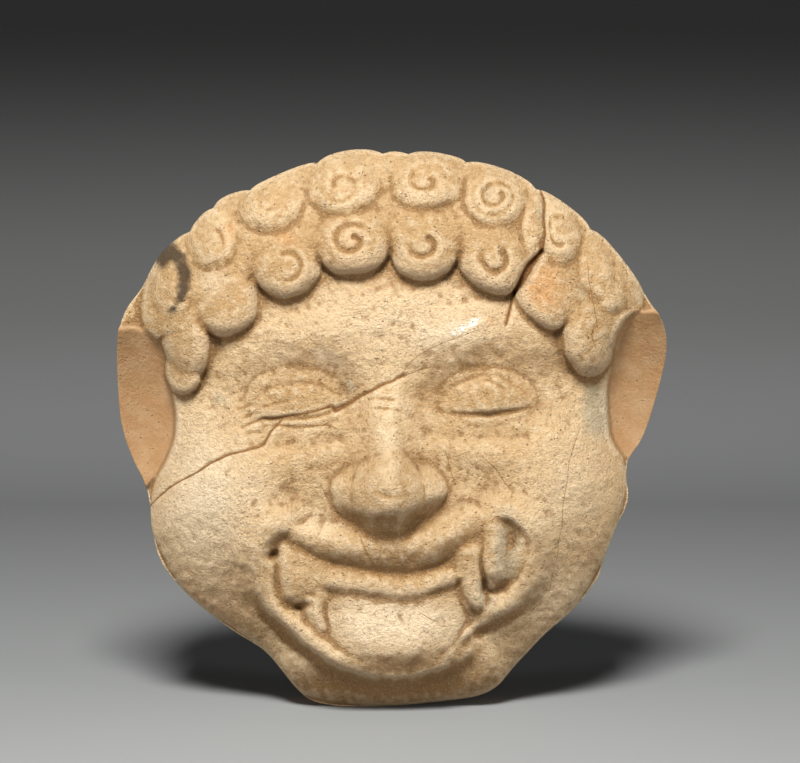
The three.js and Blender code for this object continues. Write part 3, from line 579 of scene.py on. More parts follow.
HAIR_EDGE = [
    (-113.8, 22.8), (-87.9, 25.4), (-71.1, 29.2), (-59.5, 35.1), (-42.0, 48.3), (-21.3, 53.8),
    (0.0, 56.4), (21.0, 55.1), (39.7, 48.3), (54.3, 36.4), (67.2, 26.0), (86.6, 22.8),
    (112.5, 20.8),
]
HAIR_STEPS = [0, 4, 9, 15, 20, 27, 36]
HAIR_THICKNESS = [4.2, 5.6, 6.2, 5.7, 5.8, 6.2, 6.0]
HAIR_FLOOR = 12
LOWEST_CURL = 10
THINNEST_HAIR = 0.02
NEAR_HAIR = 150
HAIR_LAP = (-0.8, 2.2)
HAIR_LAP_STEEPNESS = 0.7
HAIR_FIRMNESS = 9


def coil(across, up, inner, outer, coils, start, depth):
    """The groove of a snail curl, which winds outward and grows shallower as it goes."""
    middle = np.hypot(across, up)
    phase = ((math.radians(start) - np.arctan2(up, across)) / TURN) % 1
    groove = np.zeros_like(across)
    for winding in range(MOST_WINDINGS):
        gone = phase + winding
        where = inner + (outer - inner) * gone / coils
        live = fade(*COIL_START, gone) * fade(coils, coils - COIL_FADE, gone)
        live = live * (COIL_TAIL + (1 - COIL_TAIL) * fade(coils, 0, gone))
        groove = np.maximum(groove, live * np.exp(-((middle - where) / COIL_WIDTH) ** 2))
    return depth * groove * (middle < 1)


hair_edge = Stroke(HAIR_EDGE, NEAR_HAIR)
above = np.where((hair_edge.side > 0) & (z > HAIR_FLOOR), hair_edge.distance, -hair_edge.distance)
lap = fade(*HAIR_LAP, above) ** HAIR_LAP_STEEPNESS
hair = lap * np.interp(above, HAIR_STEPS, HAIR_THICKNESS)
for place, wide, tall, lean, rise, groove in CURLS:
    across, up = within(place, wide, tall, lean)
    middle = np.hypot(across, np.where(up > 0, UPWARD_PULL * up, up))
    dome = np.clip(1 - middle ** CURL_FULLNESS, 0, None) ** CURL_STEEPNESS
    dome = (rise - OVERHANG * up) * dome
    if groove:
        dome = dome - coil(across, up, *groove)
    hair = join(hair, dome, CURL_FIRMNESS)
haired = (z > LOWEST_CURL) & (hair > THINNEST_HAIR)
height = plain + np.where(haired, join(relief, hair, HAIR_FIRMNESS), relief)


# The ears. Both were cut off in a slant, so each shows the smooth clay of the core in a scooped
# face that stands lower than the hair and the cheek.
EARS = [
    {
        "line": [
            (-100.8, 35.1), (-87.9, 34.4), (-79.5, 33.1), (-74.6, 27.6), (-73.4, 18.9),
            (-70.1, 9.2), (-70.1, -2.4), (-73.7, -10.8), (-77.6, -16.0), (-81.4, -22.5),
        ],
        "middle": (-82, 2),
        "hand": -1,
        "foot": -20,
        "top": 40,
    },
    {
        "line": [
            (99.5, 40.9), (87.3, 39.6), (78.2, 38.3), (73.0, 31.8), (71.1, 21.2), (69.5, 11.5),
            (70.1, 0.2), (73.4, -6.9), (80.1, -12.8),
        ],
        "middle": (81, 6),
        "hand": 1,
        "foot": -14,
        "top": 44,
    },
]
NEAR_EAR = 60
INNERMOST = 50
EAR_EDGE = 1.2
EAR_DEPTH = 13
EAR_HALF_WIDTH = 10
EAR_HALF_HEIGHT = 25
RISE_TO_SIDES = 2.2
RISE_TO_ENDS = 6

core = np.zeros_like(x)
for ear in EARS:
    edge = Stroke(ear["line"], NEAR_EAR)
    share = fade(-EAR_EDGE, EAR_EDGE, edge.distance * edge.side * ear["hand"])
    share *= (x * ear["hand"] > INNERMOST) & (z > ear["foot"]) & (z < ear["top"])
    aside, over = within(ear["middle"], EAR_HALF_WIDTH, EAR_HALF_HEIGHT)
    scoop = EAR_DEPTH + RISE_TO_ENDS * over ** 2 + RISE_TO_SIDES * aside ** 2
    height = height + (scoop - height) * share
    core = np.maximum(core, share)


# Age. The mask broke from the left cheek to the crown and was stuck together again, pieces have
# spalled off a curl and the edge, and the surface is grainy all over. A mend is its line, half
# width, depth and the step across it, and a fine crack is its line and half width.
MENDS = [
    (
        [
            (-79.5, -26.0), (-70.1, -17.6), (-62.0, -12.8), (-52.4, -7.9), (-42.0, -5.0),
            (-39.4, -3.1), (-37.8, 0.2), (-34.9, 3.4),
        ],
        [0.16, 0.2],
        0.5,
        0.2,
    ),
    (
        [
            (-42.0, 4.0), (-34.6, 4.4), (-26.5, 6.0), (-18.7, 8.2), (-17.5, 6.9), (-13.6, 9.2),
            (-8.7, 12.1), (-4.5, 14.4), (0.0, 16.6), (3.9, 18.3),
        ],
        [0.05, 0.1, 0.12, 0.22, 0.32, 0.22, 0.1],
        0.8,
        0.3,
    ),
    ([(35.5, 33.8), (38.1, 42.2), (39.1, 45.4)], [0.15, 0.25, 0.35], 0.8, 0.2),
    ([(39.1, 45.4), (43.6, 52.5), (47.8, 57.0)], [0.4, 1.3, 0.4], 3.6, 0.0),
    ([(47.8, 57.0), (48.5, 63.2), (48.2, 72.9), (45.9, 79.0)], [0.4, 0.25, 0.2, 0.2], 1.0, 0.3),
]
FINE_CRACKS = [
    (
        [(2.6, 17.6), (5.8, 21.8), (11.6, 25.4), (18.1, 28.6), (28.4, 32.5), (33.6, 34.1)],
        [0.08, 0.07, 0.07, 0.06, 0.05],
    ),
    ([(3.2, 17.9), (8.4, 19.6), (12.9, 20.2), (17.8, 19.9)], [0.1, 0.08, 0.05, 0.03]),
    (
        [(19.4, 6.9), (25.2, 5.7), (31.7, 5.3), (38.1, 6.0), (43.6, 7.9)],
        [0.02, 0.1, 0.14, 0.14, 0.1],
    ),
    ([(-47.2, 1.8), (-43.3, 3.4), (-39.4, 4.7)], [0.05, 0.16, 0.1]),
    (
        [(-40.7, 1.5), (-36.2, 2.1), (-29.1, 1.8), (-21.3, 2.7), (-18.1, 2.1)],
        [0.02, 0.1, 0.12, 0.14, 0.24],
    ),
    (
        [(60.1, 0.2), (57.5, -7.9), (55.9, -12.8), (54.6, -22.5), (53.0, -37.0), (49.4, -54.8)],
        [0.05, 0.06, 0.08, 0.06, 0.04],
    ),
    ([(28.4, -7.9), (33.6, -13.4), (38.1, -19.2)], [0.05, 0.16, 0.05]),
    ([(17.1, -6.3), (19.4, -16.0)], [0.05, 0.1, 0.05]),
    ([(-9.7, -34.1), (-7.1, -40.2), (-3.9, -47.3)], [0.14, 0.2, 0.14]),
    ([(61.7, 52.5), (64.0, 42.2), (65.6, 32.5)], [0.08, 0.14, 0.14]),
    ([(8.4, -57.7), (11.6, -59.6), (14.9, -60.9)], [0.05, 0.16, 0.05]),
    ([(14.5, -61.9), (16.5, -62.5), (18.4, -62.2)], [0.05, 0.12, 0.05]),
    ([(64.6, 34.1), (63.3, 29.9), (64.3, 26.0)], [0.1, 0.3, 0.1]),
    ([(-13.6, 18.9), (-3.9, 22.1), (5.8, 26.0)], [0.0, 0.05, 0.0]),
]
GRAIN = [(7.3, 11, 0.3), (3.1, 12, 0.2), (1.7, 13, 0.16)]
CORE_EVENNESS = 0.8
NEAR_CRACK = 6
NO_CRACK = 9.0
MEND_BEVEL = 0.3
MEND_END = 0.04
MEND_REACH = 3
FINE_CRACK_DEPTH = 0.8
FINE_CRACK_BEVEL = 0.6
FINE_CRACK_REACH = 2


class Cracks:
    """For each point, how far off and on which side the nearest crack is, and its half width."""

    def __init__(self, reach):
        self.reach = reach
        self.offset = np.full(x.shape, NO_CRACK)
        self.half = np.zeros_like(x)

    def add(self, crack, half_width):
        """Takes up one more crack where it is the nearest."""
        nearer = crack.distance < np.abs(self.offset)
        self.offset = np.where(nearer, crack.distance * crack.side, self.offset)
        self.half = np.where(nearer & (crack.distance < self.reach), half_width, self.half)


grain = sum(rise * lumps(size, seed) for size, seed, rise in GRAIN)
height = height + (1 - CORE_EVENNESS * core) * grain

gaps = Cracks(MEND_REACH)
for line, half_gap, depth, step in MENDS:
    mend = Stroke(line, NEAR_CRACK)
    ends = fade(0, MEND_END, mend.along) * fade(1, 1 - MEND_END, mend.along)
    half_width = mend.spread(half_gap)
    height = height - depth * np.exp(-(mend.distance / (half_width + MEND_BEVEL)) ** 2)
    sunk = step * np.exp(-(mend.distance / MEND_REACH) ** 2) * (mend.side > 0)
    height = height - sunk * ends
    gaps.add(mend, half_width)

fine_cracks = Cracks(FINE_CRACK_REACH)
for line, half_gap in FINE_CRACKS:
    crack = Stroke(line, NEAR_CRACK)
    half_width = crack.spread(half_gap)
    bevel = np.exp(-(crack.distance / FINE_CRACK_BEVEL) ** 2)
    height = height - FINE_CRACK_DEPTH * half_width * bevel
    fine_cracks.add(crack, half_width)


# The skin. The face, the trimmed edge, the flat rim that lies on the wall and the hollow that
# was pressed out by thumb behind them are one closed surface.
MM = 0.001
MIDDLE_BELOW_MOUNT = 78
JAW_FLARE = 0.4
JAW_SINES = (-0.25, -0.55)
JAW_COSINES = (0.2, 0.4)
HAIR_UNDERCUT = 3.2
UNDERCUT_SINES = (-0.1, 0.2)
WALL_SHARES = [0.86, 0.7, 0.52, 0.34, 0.16, 0.04]
WALL_TOOTH = [(2.3, 21, 0.3), (1.1, 22, 0.15)]
WALL_WEAR = 0.4
HOLLOW_SHARE = 0.78
HOLLOW_DEPTH = 24
HOLLOW_FULLNESS = 2.4
HOLLOW_STEEPNESS = 0.6
DENT_SIZE = 13
DENT_SEED = 31
DENT_DEPTH = 0.9
HOLLOW_STEPS = [0.985, 0.96, 0.93, 0.89, 0.84, 0.78, 0.71, 0.63, 0.54, 0.45, 0.36, 0.27, 0.18, 0.09]
HOLLOW_SIDES = 360
FEWEST_SIDES = 12
UPWARD_LOOK = 0.087
PAST_THE_END = 2


def jaw_share(turn):
    """1 where the trimmed jaw spreads toward its foot, and 0 elsewhere."""
    low = fade(*JAW_SINES, np.sin(turn))
    return low * fade(*JAW_COSINES, np.abs(np.cos(turn)))


sides = ring_counts[-1]
edge_turn = turns[-1]
edge_height = height[-sides:]
front_reach = radii[-1]
foot_reach = outline(edge_turn) + JAW_FLARE * jaw_share(edge_turn)
foot_reach = foot_reach - HAIR_UNDERCUT * fade(*UNDERCUT_SINES, np.sin(edge_turn))
rings = []
first = 1
for count in ring_counts:
    rings.append(np.arange(first, first + count))
    first += count
all_x = [face_x]
all_y = [-height]
all_z = [face_z]


def add_ring(ring_turn, ring_reach, depth):
    """Adds one ring of points behind those that are there."""
    start = sum(len(part) for part in all_x)
    rings.append(np.arange(start, start + len(ring_turn)))
    all_x.append(ring_reach * np.cos(ring_turn))
    all_y.append(-depth)
    all_z.append(ring_reach * np.sin(ring_turn))


for wall_share in WALL_SHARES:
    bulge = foot_reach + (front_reach - foot_reach) * wall_share
    depth = wall_share * edge_height
    beside = bulge * np.cos(edge_turn) + depth
    over = bulge * np.sin(edge_turn) - depth
    tooth = sum(rise * lumps(size, seed, beside, over) for size, seed, rise in WALL_TOOTH)
    add_ring(edge_turn, bulge - WALL_WEAR + tooth, depth)
add_ring(edge_turn, foot_reach, np.zeros(sides))
hollow_turn = np.arange(HOLLOW_SIDES) * TURN / HOLLOW_SIDES
add_ring(hollow_turn, HOLLOW_SHARE * reach(PLAIN_HEAD, hollow_turn), np.zeros(HOLLOW_SIDES))
for step in HOLLOW_STEPS:
    count = max(FEWEST_SIDES, round(HOLLOW_SIDES * step))
    ring_turn = np.arange(count) * TURN / count
    ring_reach = step * HOLLOW_SHARE * reach(PLAIN_HEAD, ring_turn)
    beside = ring_reach * np.cos(ring_turn)
    over = ring_reach * np.sin(ring_turn)
    depth = HOLLOW_DEPTH + DENT_DEPTH * lumps(DENT_SIZE, DENT_SEED, beside, over)
    depth = depth * (1 - step ** HOLLOW_FULLNESS) ** HOLLOW_STEEPNESS
    add_ring(ring_turn, ring_reach, depth)
last = sum(len(part) for part in all_x)
all_x.append([0])
all_y.append([-HOLLOW_DEPTH])
all_z.append([0])


def stitched(inner, outer, inner_lead, outer_lead):
    """Triangles between two rings. A ring's lead is how far it is turned, as a share of a step."""
    faces = []
    i = 0
    j = 0
    while i < len(inner) or j < len(outer):
        here = inner[i % len(inner)]
        there = outer[j % len(outer)]
        next_inner = (i + 1 + inner_lead) / len(inner) if i < len(inner) else PAST_THE_END
        next_outer = (j + 1 + outer_lead) / len(outer) if j < len(outer) else PAST_THE_END
        if next_inner < next_outer:
            i += 1
            faces.append((here, there, inner[i % len(inner)]))
        else:
            j += 1
            faces.append((here, there, outer[j % len(outer)]))
    return faces


triangles = [(0, a, b) for a, b in zip(rings[0], np.roll(rings[0], -1))]
leads = ring_leads + [ring_leads[-1]] * (len(WALL_SHARES) + 1) + [0] * (len(HOLLOW_STEPS) + 1)
for inner, outer, inner_lead, outer_lead in zip(rings, rings[1:], leads, leads[1:]):
    triangles += stitched(inner.tolist(), outer.tolist(), inner_lead, outer_lead)
triangles += [(last, b, a) for a, b in zip(rings[-1], np.roll(rings[-1], -1))]

points = np.stack([np.concatenate(all_x), np.concatenate(all_y), np.concatenate(all_z)], axis=1)
points[:len(x), 2] += UPWARD_LOOK * (height - EDGE_DEPTH).clip(0)
points[:, 2] -= MIDDLE_BELOW_MOUNT
skin = bpy.data.meshes.new("gorgon_skin")
skin.from_pydata((points * MM).tolist(), [], [tuple(int(n) for n in face) for face in triangles])
skin.update()
skin.polygons.foreach_set("use_smooth", [True] * len(skin.polygons))
plaque = bpy.data.objects.new("gorgon_skin", skin)
bpy.context.scene.collection.objects.link(plaque)


# What the surface has taken up, and the light and shade painted on it: dirt in its hollows with
# painted shade laid in there too, painted shade on the faces that look down, painted light on the
# cheeks and the tongue, stains from the ground, and the colours that the fire left. Each of the
# stains and patches of painted light or shade is its place, half width and height, lean and
# strength, and the rims of the tongue and the lip, the smear by the ear and the white crust follow
# lines.
SOOT_LINE = [
    (-73.4, 55.7), (-70.8, 57.4), (-68.2, 55.4), (-66.6, 51.9), (-66.2, 47.7), (-67.2, 43.8),
    (-69.2, 40.2),
]
SOOT_SPOTS = [
    ((-72.1, 57.0), 2.8, 1.6, -10, 1.5),
    ((-67.2, 51.9), 1.5, 3.4, 5, 1.3),
    ((-66.6, 46.4), 1.6, 2.6, 0, 1.3),
    ((-69.8, 39.3), 2.2, 1.6, 30, 1.1),
]
GREY_GREEN = [
    ((65.9, 6.0), 5, 8, 0, 1.5),
    ((-13.6, 14.4), 2.5, 2.2, 0, 0.9),
    ((36.5, -39.3), 4.5, 12, 0, 1.2),
    ((6.5, -29.2), 4.5, 3, 30, 0.9),
    ((36.8, -32.8), 4, 6, 0, 1.2),
    ((29.7, -51.5), 4, 5, 0, 1.0),
    ((-54.3, 10.5), 3, 2.5, 0, 0.8),
    ((29.4, 75.8), 3, 3, 0, 0.7),
    ((47.8, 69.6), 2.5, 8, 0, 0.6),
    ((60.8, 45.4), 2.5, 6, 0, 0.6),
    ((-2.3, 84.8), 3, 4, 0, 0.5),
]
ORANGE = [
    ((47.8, 46.1), 7, 8, 0, 1.0),
    ((-50.7, 63.2), 2, 6, -10, 0.8),
    ((-2.3, -28.9), 8, 5, 0, 0.7),
    ((-33.6, 61.6), 5, 3, -20, 0.7),
    ((-12.3, 59.6), 5, 4, 0, 0.6),
    ((-62.0, -54.8), 14, 3.5, -40, 0.7),
    ((30.7, 34.7), 2.2, 1.2, 20, 0.9),
    ((36.2, 37.0), 1.5, 4, -15, 0.8),
    ((41.4, 13.1), 4, 3, 0, 0.5),
]
# Pale wash of the clay; on the cheeks and the tongue it is painted light as well.
WHITISH_AND_PAINTED_LIGHT = [
    ((2.6, 35.7), 45, 14, 5, 0.65),
    ((17.1, 30.9), 16, 7, 10, 0.9),
    ((-60.4, -22.5), 17, 30, 0, 0.95),
    ((59.1, -19.2), 16, 26, 0, 0.55),
    ((25.2, 33.8), 4, 1.6, 15, 1.3),
    ((-0.6, -61.2), 24, 11, 0, 1.1),
    ((-19.4, 22.5), 8, 5, -30, 0.9),
    ((-33.0, 23.8), 12, 5, 0, 0.5),
    ((-45.9, -19.2), 12, 14, 0, 0.6),
    ((-23.3, -28.9), 16, 5, 0, 0.6),
    ((-56.2, 47.0), 7, 6, 0, 0.7),
    ((-2.3, -3.1), 5, 10, 0, 0.6),
    ((-60.4, -54.8), 14, 12, -40, 0.6),
    ((52.7, -54.8), 18, 16, 40, 0.65),
]
# The clay's own tan round the eyes, on the nose, the brows and by the soot; under the nose and the
# lip, along the teeth, at the tongue's rim and on the chin it is painted shade.
TAN_AND_PAINTED_SHADE = [
    ((-30.7, 9.2), 20, 11, 4, 1.5),
    ((30.7, 9.9), 19, 11, 0, 1.5),
    ((-20.0, -41.8), 14, 6, -15, 1.5),
    ((-1.3, -43.1), 22, 6, 0, 2.3),
    ((17.1, -40.9), 14, 6, 20, 1.5),
    ((-1.3, -50.3), 24, 4, 0, 1.9),
    ((-12.9, -54.1), 10, 2.6, -14, 1.4),
    ((4.2, -55.4), 14, 2.6, 0, 1.6),
    ((16.5, -53.5), 7, 2.4, 20, 1.2),
    ((-29.7, -49.9), 12, 14, 0, 0.7),
    ((-1.3, -28.9), 17, 9, 0, 2.0),
    ((-1.3, -18.3), 16, 10, 0, 1.2),
    ((-0.6, -10.2), 11, 8, 0, 0.9),
    ((-0.6, -76.8), 24, 5, 0, 1.0),
    ((33.3, -40.2), 10, 12, 0, 0.8),
    ((-36.2, 24.4), 20, 8, 0, 0.4),
    ((38.1, 26.0), 20, 8, 0, 0.6),
    ((0.0, -84.5), 30, 6, 0, 1.8),
    ((-70.4, 49.3), 7, 12, 0, 1.6),
]
# Tan and painted shade along the rolled lower rim of the tongue and the underside of the lip.
TAN_AND_SHADE_RIMS = [
    [
        (-25.9, -69.6), (-23.9, -72.5), (-18.4, -77.1), (-5.5, -80.3), (9.7, -80.3), (20.4, -74.8),
        (23.9, -68.3),
    ],
    [(-33.6, -34.1), (-20.0, -38.6), (-1.3, -41.8), (16.2, -37.6), (30.4, -29.6)],
]
TAN_AND_SHADE_RIM_STRENGTH = [1.0, 1.7, 1.7, 1.0]
TAN_AND_SHADE_RIM_WIDTH = [4.5]
# Behind the face the trimmed edge and the back take the tan fully, which also paints shade over the
# side lamps' glint on the edge.
TAN_AND_SHADE_BEHIND = 1.4
TANNED_HAIR = 0.84
TANNED_FRONT = 0.9
FRONT_ROW = (17, 5)
HAIR_SHOWS = (0.5, 2.5)
SOOT_STRENGTH = [1.5, 1.8, 1.3, 1.4, 1.5, 1.1, 0.4]
SOOT_WIDTH = [3.6, 2.5, 2.2]
CRUST_LINE = [(17.5, 29.9), (21.3, 31.8), (25.2, 33.8), (29.1, 36.4)]
CRUST_STRENGTH = [0.4, 0.9, 0.9, 0.5]
CRUST_WIDTH = [1.3]
# Painted shade on the chin, added to that of the faces that look down.
CHIN_SHADE = 0.45
CHIN_LEVELS = (-78, -86)
FINE_ROUNDS = 8
BROAD_ROUNDS = 80


def patch_amount(places):
    """How strongly each point lies under the patches, and 0 where it isn't."""
    total = np.zeros_like(x)
    for form in places:
        total = np.maximum(total, mound(*form))
    return total


def keep_on_skin(name, values, behind=0):
    """Stores a value of the face on every point of the skin, and one value all over behind it."""
    full = np.full(len(points), behind, np.float32)
    full[:len(values)] = values
    skin.attributes.new(name, "FLOAT", "POINT").data.foreach_set("value", full)


pairs = np.array([edge.vertices[:] for edge in skin.edges])
neighbours = np.bincount(pairs.ravel(), minlength=len(points))
normals = np.zeros(len(points) * 3, np.float32)
skin.vertex_normals.foreach_get("vector", normals)
normals = normals.reshape(-1, 3)
smoothed = points.copy()
hollows = {}
for times in range(1, BROAD_ROUNDS + 1):
    total = np.zeros_like(points)
    for axis in range(3):
        total[:, axis] = np.bincount(pairs[:, 0], smoothed[pairs[:, 1], axis], len(points))
        total[:, axis] += np.bincount(pairs[:, 1], smoothed[pairs[:, 0], axis], len(points))
    smoothed = (smoothed + total / neighbours[:, None]) / 2
    if times in (FINE_ROUNDS, BROAD_ROUNDS):
        hollows[times] = ((smoothed - points) * normals).sum(1)
# Painted shade: brown on the faces that look down, and more of it on the chin.
keep_on_skin("underneath", -normals[:len(x), 2] + CHIN_SHADE * fade(*CHIN_LEVELS, z))
# Fine creases: dirt and painted shade browned into them, and the fine ridges made paler.
keep_on_skin("fine_hollow", hollows[FINE_ROUNDS][:len(x)])
# Broad hollows: dirt and painted shade browned into them.
keep_on_skin("broad_hollow", hollows[BROAD_ROUNDS][:len(x)])
soot_streak = Stroke(SOOT_LINE).groove(SOOT_STRENGTH, SOOT_WIDTH)
keep_on_skin("near_black", np.maximum(soot_streak, patch_amount(SOOT_SPOTS)))
keep_on_skin("grey_green", patch_amount(GREY_GREEN))
keep_on_skin("orange", patch_amount(ORANGE))
# Pale wash, with painted light on the cheeks and the tongue.
keep_on_skin("whitish_and_painted_light", patch_amount(WHITISH_AND_PAINTED_LIGHT))
# Tan of the hair and the clay, with painted shade under the nose and the lip, along the teeth, at
# the rims and on the chin.
hair_tan = TANNED_HAIR + TANNED_FRONT * fade(*FRONT_ROW, above)
tan_and_painted_shade = np.maximum(patch_amount(TAN_AND_PAINTED_SHADE), hair_tan * fade(*HAIR_SHOWS, hair))
for line in TAN_AND_SHADE_RIMS:
    tan_and_painted_shade = np.maximum(tan_and_painted_shade, Stroke(line).groove(TAN_AND_SHADE_RIM_STRENGTH, TAN_AND_SHADE_RIM_WIDTH))
keep_on_skin("tan_and_painted_shade", tan_and_painted_shade, TAN_AND_SHADE_BEHIND)
keep_on_skin("crust", Stroke(CRUST_LINE).groove(CRUST_STRENGTH, CRUST_WIDTH))
keep_on_skin("core", core)
keep_on_skin("gap_offset", gaps.offset)
keep_on_skin("gap_half", gaps.half)
keep_on_skin("fine_crack_offset", fine_cracks.offset)
keep_on_skin("fine_crack_half", fine_cracks.half)


# The fired clay: cream to tan, sandy and matt, orange and smoother where the core shows, with
# grit, small pits and dirt lying in the hollows, and with painted shade in the hollows and under
# the forms and painted light on the cheeks and the tongue laid into its colour.
CREAM = (0.60, 0.445, 0.265, 1)
TAN = (0.50, 0.335, 0.172, 1)
OCHRE = (0.42, 0.27, 0.127, 1)
BROWN = (0.25, 0.135, 0.05, 1)
CORE_ORANGE = (0.28, 0.158, 0.072, 1)
CORE_TAN = (0.315, 0.2, 0.105, 1)
STREAK_ORANGE = (0.54, 0.28, 0.115, 1)
CHALK = (0.78, 0.65, 0.47, 1)
CRUST = (0.85, 0.82, 0.76, 1)
STONE_GREY = (0.33, 0.32, 0.24, 1)
SOOT = (0.05, 0.033, 0.02, 1)
GLUE = (0.22, 0.10, 0.035, 1)
DULL_SPECULAR = 0.2


class Signal:
    """One output of a shader node, which takes part in sums as a number does."""

    def __init__(self, recipe, socket):
        self.recipe = recipe
        self.socket = socket

    def __add__(self, other):
        return self.recipe.maths("ADD", self, other)

    def __radd__(self, other):
        return self.recipe.maths("ADD", other, self)

    def __sub__(self, other):
        return self.recipe.maths("SUBTRACT", self, other)

    def __rsub__(self, other):
        return self.recipe.maths("SUBTRACT", other, self)

    def __mul__(self, other):
        return self.recipe.maths("MULTIPLY", self, other)

    def __rmul__(self, other):
        return self.recipe.maths("MULTIPLY", other, self)


class Recipe:
    """The nodes of one finish."""

    def __init__(self, name):
        self.material = bpy.data.materials.new(name)
        self.material.use_nodes = True
        self.tree = self.material.node_tree
        self.tree.nodes.clear()

    def node(self, kind, settings, inputs, output=0):
        """Adds a node, sets it, fills its sockets with values or signals, and gives an output."""
        made = self.tree.nodes.new(kind)
        for name, value in settings.items():
            setattr(made, name, value)
        for name, value in inputs.items():
            if isinstance(value, Signal):
                self.tree.links.new(value.socket, made.inputs[name])
            else:
                made.inputs[name].default_value = value
        return Signal(self, made.outputs[output])

    def maths(self, operation, first, second):
        """One sum on signals or numbers."""
        return self.node("ShaderNodeMath", {"operation": operation}, {0: first, 1: second})

    def attribute(self, name):
        """A value that is stored on the mesh."""
        return self.node("ShaderNodeAttribute", {"attribute_name": name}, {}, "Fac")

    def places(self):
        """Where each point of the object is, in metres."""
        return self.node("ShaderNodeTexCoord", {}, {}, "Object")

    def grain(self, across, detail, roughness=0.6):
        """Even noise from 0 to 1, whose patches are about `across` millimetres wide."""
        inputs = {"Vector": self.places(), "Scale": 1 / (across * MM), "Detail": detail}
        inputs["Roughness"] = roughness
        return self.node("ShaderNodeTexNoise", {}, inputs)

    def ramp(self, low, high, value):
        """A smooth step from 0 at one value to 1 at the other."""
        settings = {"interpolation_type": "SMOOTHSTEP"}
        return self.node("ShaderNodeMapRange", settings, {0: value, 1: low, 2: high})

    def tinted(self, amount, under, over):
        """One colour laid over another by an amount from 0 to 1."""
        settings = {"data_type": "RGBA"}
        return self.node("ShaderNodeMix", settings, {0: amount, 6: under, 7: over}, 2)

    def bumped(self, strength, distance, height):
        """The normal of a surface that a signal raises by so many millimetres."""
        inputs = {"Strength": strength, "Distance": distance * MM, "Height": height}
        return self.node("ShaderNodeBump", {}, inputs, "Normal")

    def finish(self, colour, roughness, bump):
        """The shader and its output."""
        inputs = {"Base Color": colour, "Roughness": roughness, "Normal": bump}
        inputs["Specular IOR Level"] = DULL_SPECULAR
        surface = self.node("ShaderNodeBsdfPrincipled", {}, inputs)
        output = self.tree.nodes.new("ShaderNodeOutputMaterial")
        self.tree.links.new(surface.socket, output.inputs["Surface"])
        return self.material


# Each of the stains, and each layer of painted light or shade, is the value on the skin that holds
# it, how much of the mottle, grit and dust breaks its edge up, the values between which it comes
# in, its strength and its colour.
STAINS_AND_PAINTED_LIGHT = [
    # tan of the clay, and painted shade under the nose, the lip and the chin
    ("tan_and_painted_shade", (1.2, 0.4, 0), (0.05, 1.5), 0.95, OCHRE),
    # pale wash, and painted light on the cheeks and the tongue
    ("whitish_and_painted_light", (0.9, 0.7, 0), (0.1, 1.2), 0.75, CHALK),
    ("orange", (1.2, 0, 0), (0.1, 1.0), 0.65, STREAK_ORANGE),
    ("grey_green", (1.4, 0, 0), (0.15, 1.0), 0.55, STONE_GREY),
    # dirt and painted shade in the broad hollows
    ("broad_hollow", (0, 0.5, 0), (0.0, 1.3), 0.6, BROWN),
    # painted shade on the faces that look down, and on the chin
    ("underneath", (0.12, 0.4, 0), (0.1, 0.85), 0.88, BROWN),
    # dirt and painted shade in the fine creases
    ("fine_hollow", (0, 0, 0), (0.015, 0.14), 0.75, BROWN),
    ("fine_hollow", (0, 0, 0), (-0.02, -0.16), 0.3, CHALK),
]
TOPMOST_STAINS = [
    ("crust", (0, 2.5, 1.5), (0.6, 0.9), 1.0, CRUST),
    ("near_black", (1.6, 0.9, 0), (0.25, 1.25), 0.92, SOOT),
]
NOISE_MIDDLE = 0.5
TAN_SHOWS = (0.34, 0.62)
CORE_TAN_SHOWS = (0.35, 0.7)
DARK_SPECKS = (0.50, 0.72)
DARK_SPECK_STRENGTH = 0.4
PALE_SPECKS = (0.50, 0.30)
PALE_SPECK_STRENGTH = 0.25
CORE_CLEANNESS = 0.8
CRACK_EDGE = (0.12, -0.02)
CRACK_WIDTHS = (0.02, 0.06)
GAP_STRENGTH = 0.85
FINE_CRACK_STRENGTH = 0.7
PIT_SPACING = 1.6
PIT_EDGE = (0.24, 0.05)
PIT_PATCHES = (0.50, 0.62)
PIT_STRENGTH = 0.35
GRIT_RISE = 0.55
DUST_RISE = 0.5
PIT_FALL = 0.5
CORE_SMOOTHNESS = 0.75
GRAIN_HEIGHT = 2.5
CLAY_ROUGHNESS = 0.92
CORE_POLISH = 0.15

clay = Recipe("fired_clay")
cloud = clay.grain(across=26, detail=3, roughness=0.5)
mottle = clay.grain(across=6, detail=4, roughness=0.6)
grit = clay.grain(across=1.9, detail=5, roughness=0.7)
dust = clay.grain(across=0.85, detail=3, roughness=0.75)
core_mask = clay.attribute("core")
bare = 1 - CORE_CLEANNESS * core_mask


def with_stain_or_painted_light(colour, held_in, shares, shows, strength, over):
    """The colour with one more layer over it, broken up at its edge: either one of the stains or a
    layer of painted light or shade.
    """
    amount = clay.attribute(held_in)
    for share, noise in zip(shares, (mottle, grit, dust)):
        if share:
            amount = amount + share * (noise - NOISE_MIDDLE)
    return clay.tinted(strength * clay.ramp(*shows, amount), colour, over)


def cracked(kind):
    """1 inside a crack of one kind, whose half width is stored beside it, and 0 outside."""
    off = clay.maths("ABSOLUTE", clay.attribute(kind + "_offset"), 0)
    width = clay.attribute(kind + "_half")
    return clay.ramp(*CRACK_EDGE, off - width) * clay.ramp(*CRACK_WIDTHS, width)


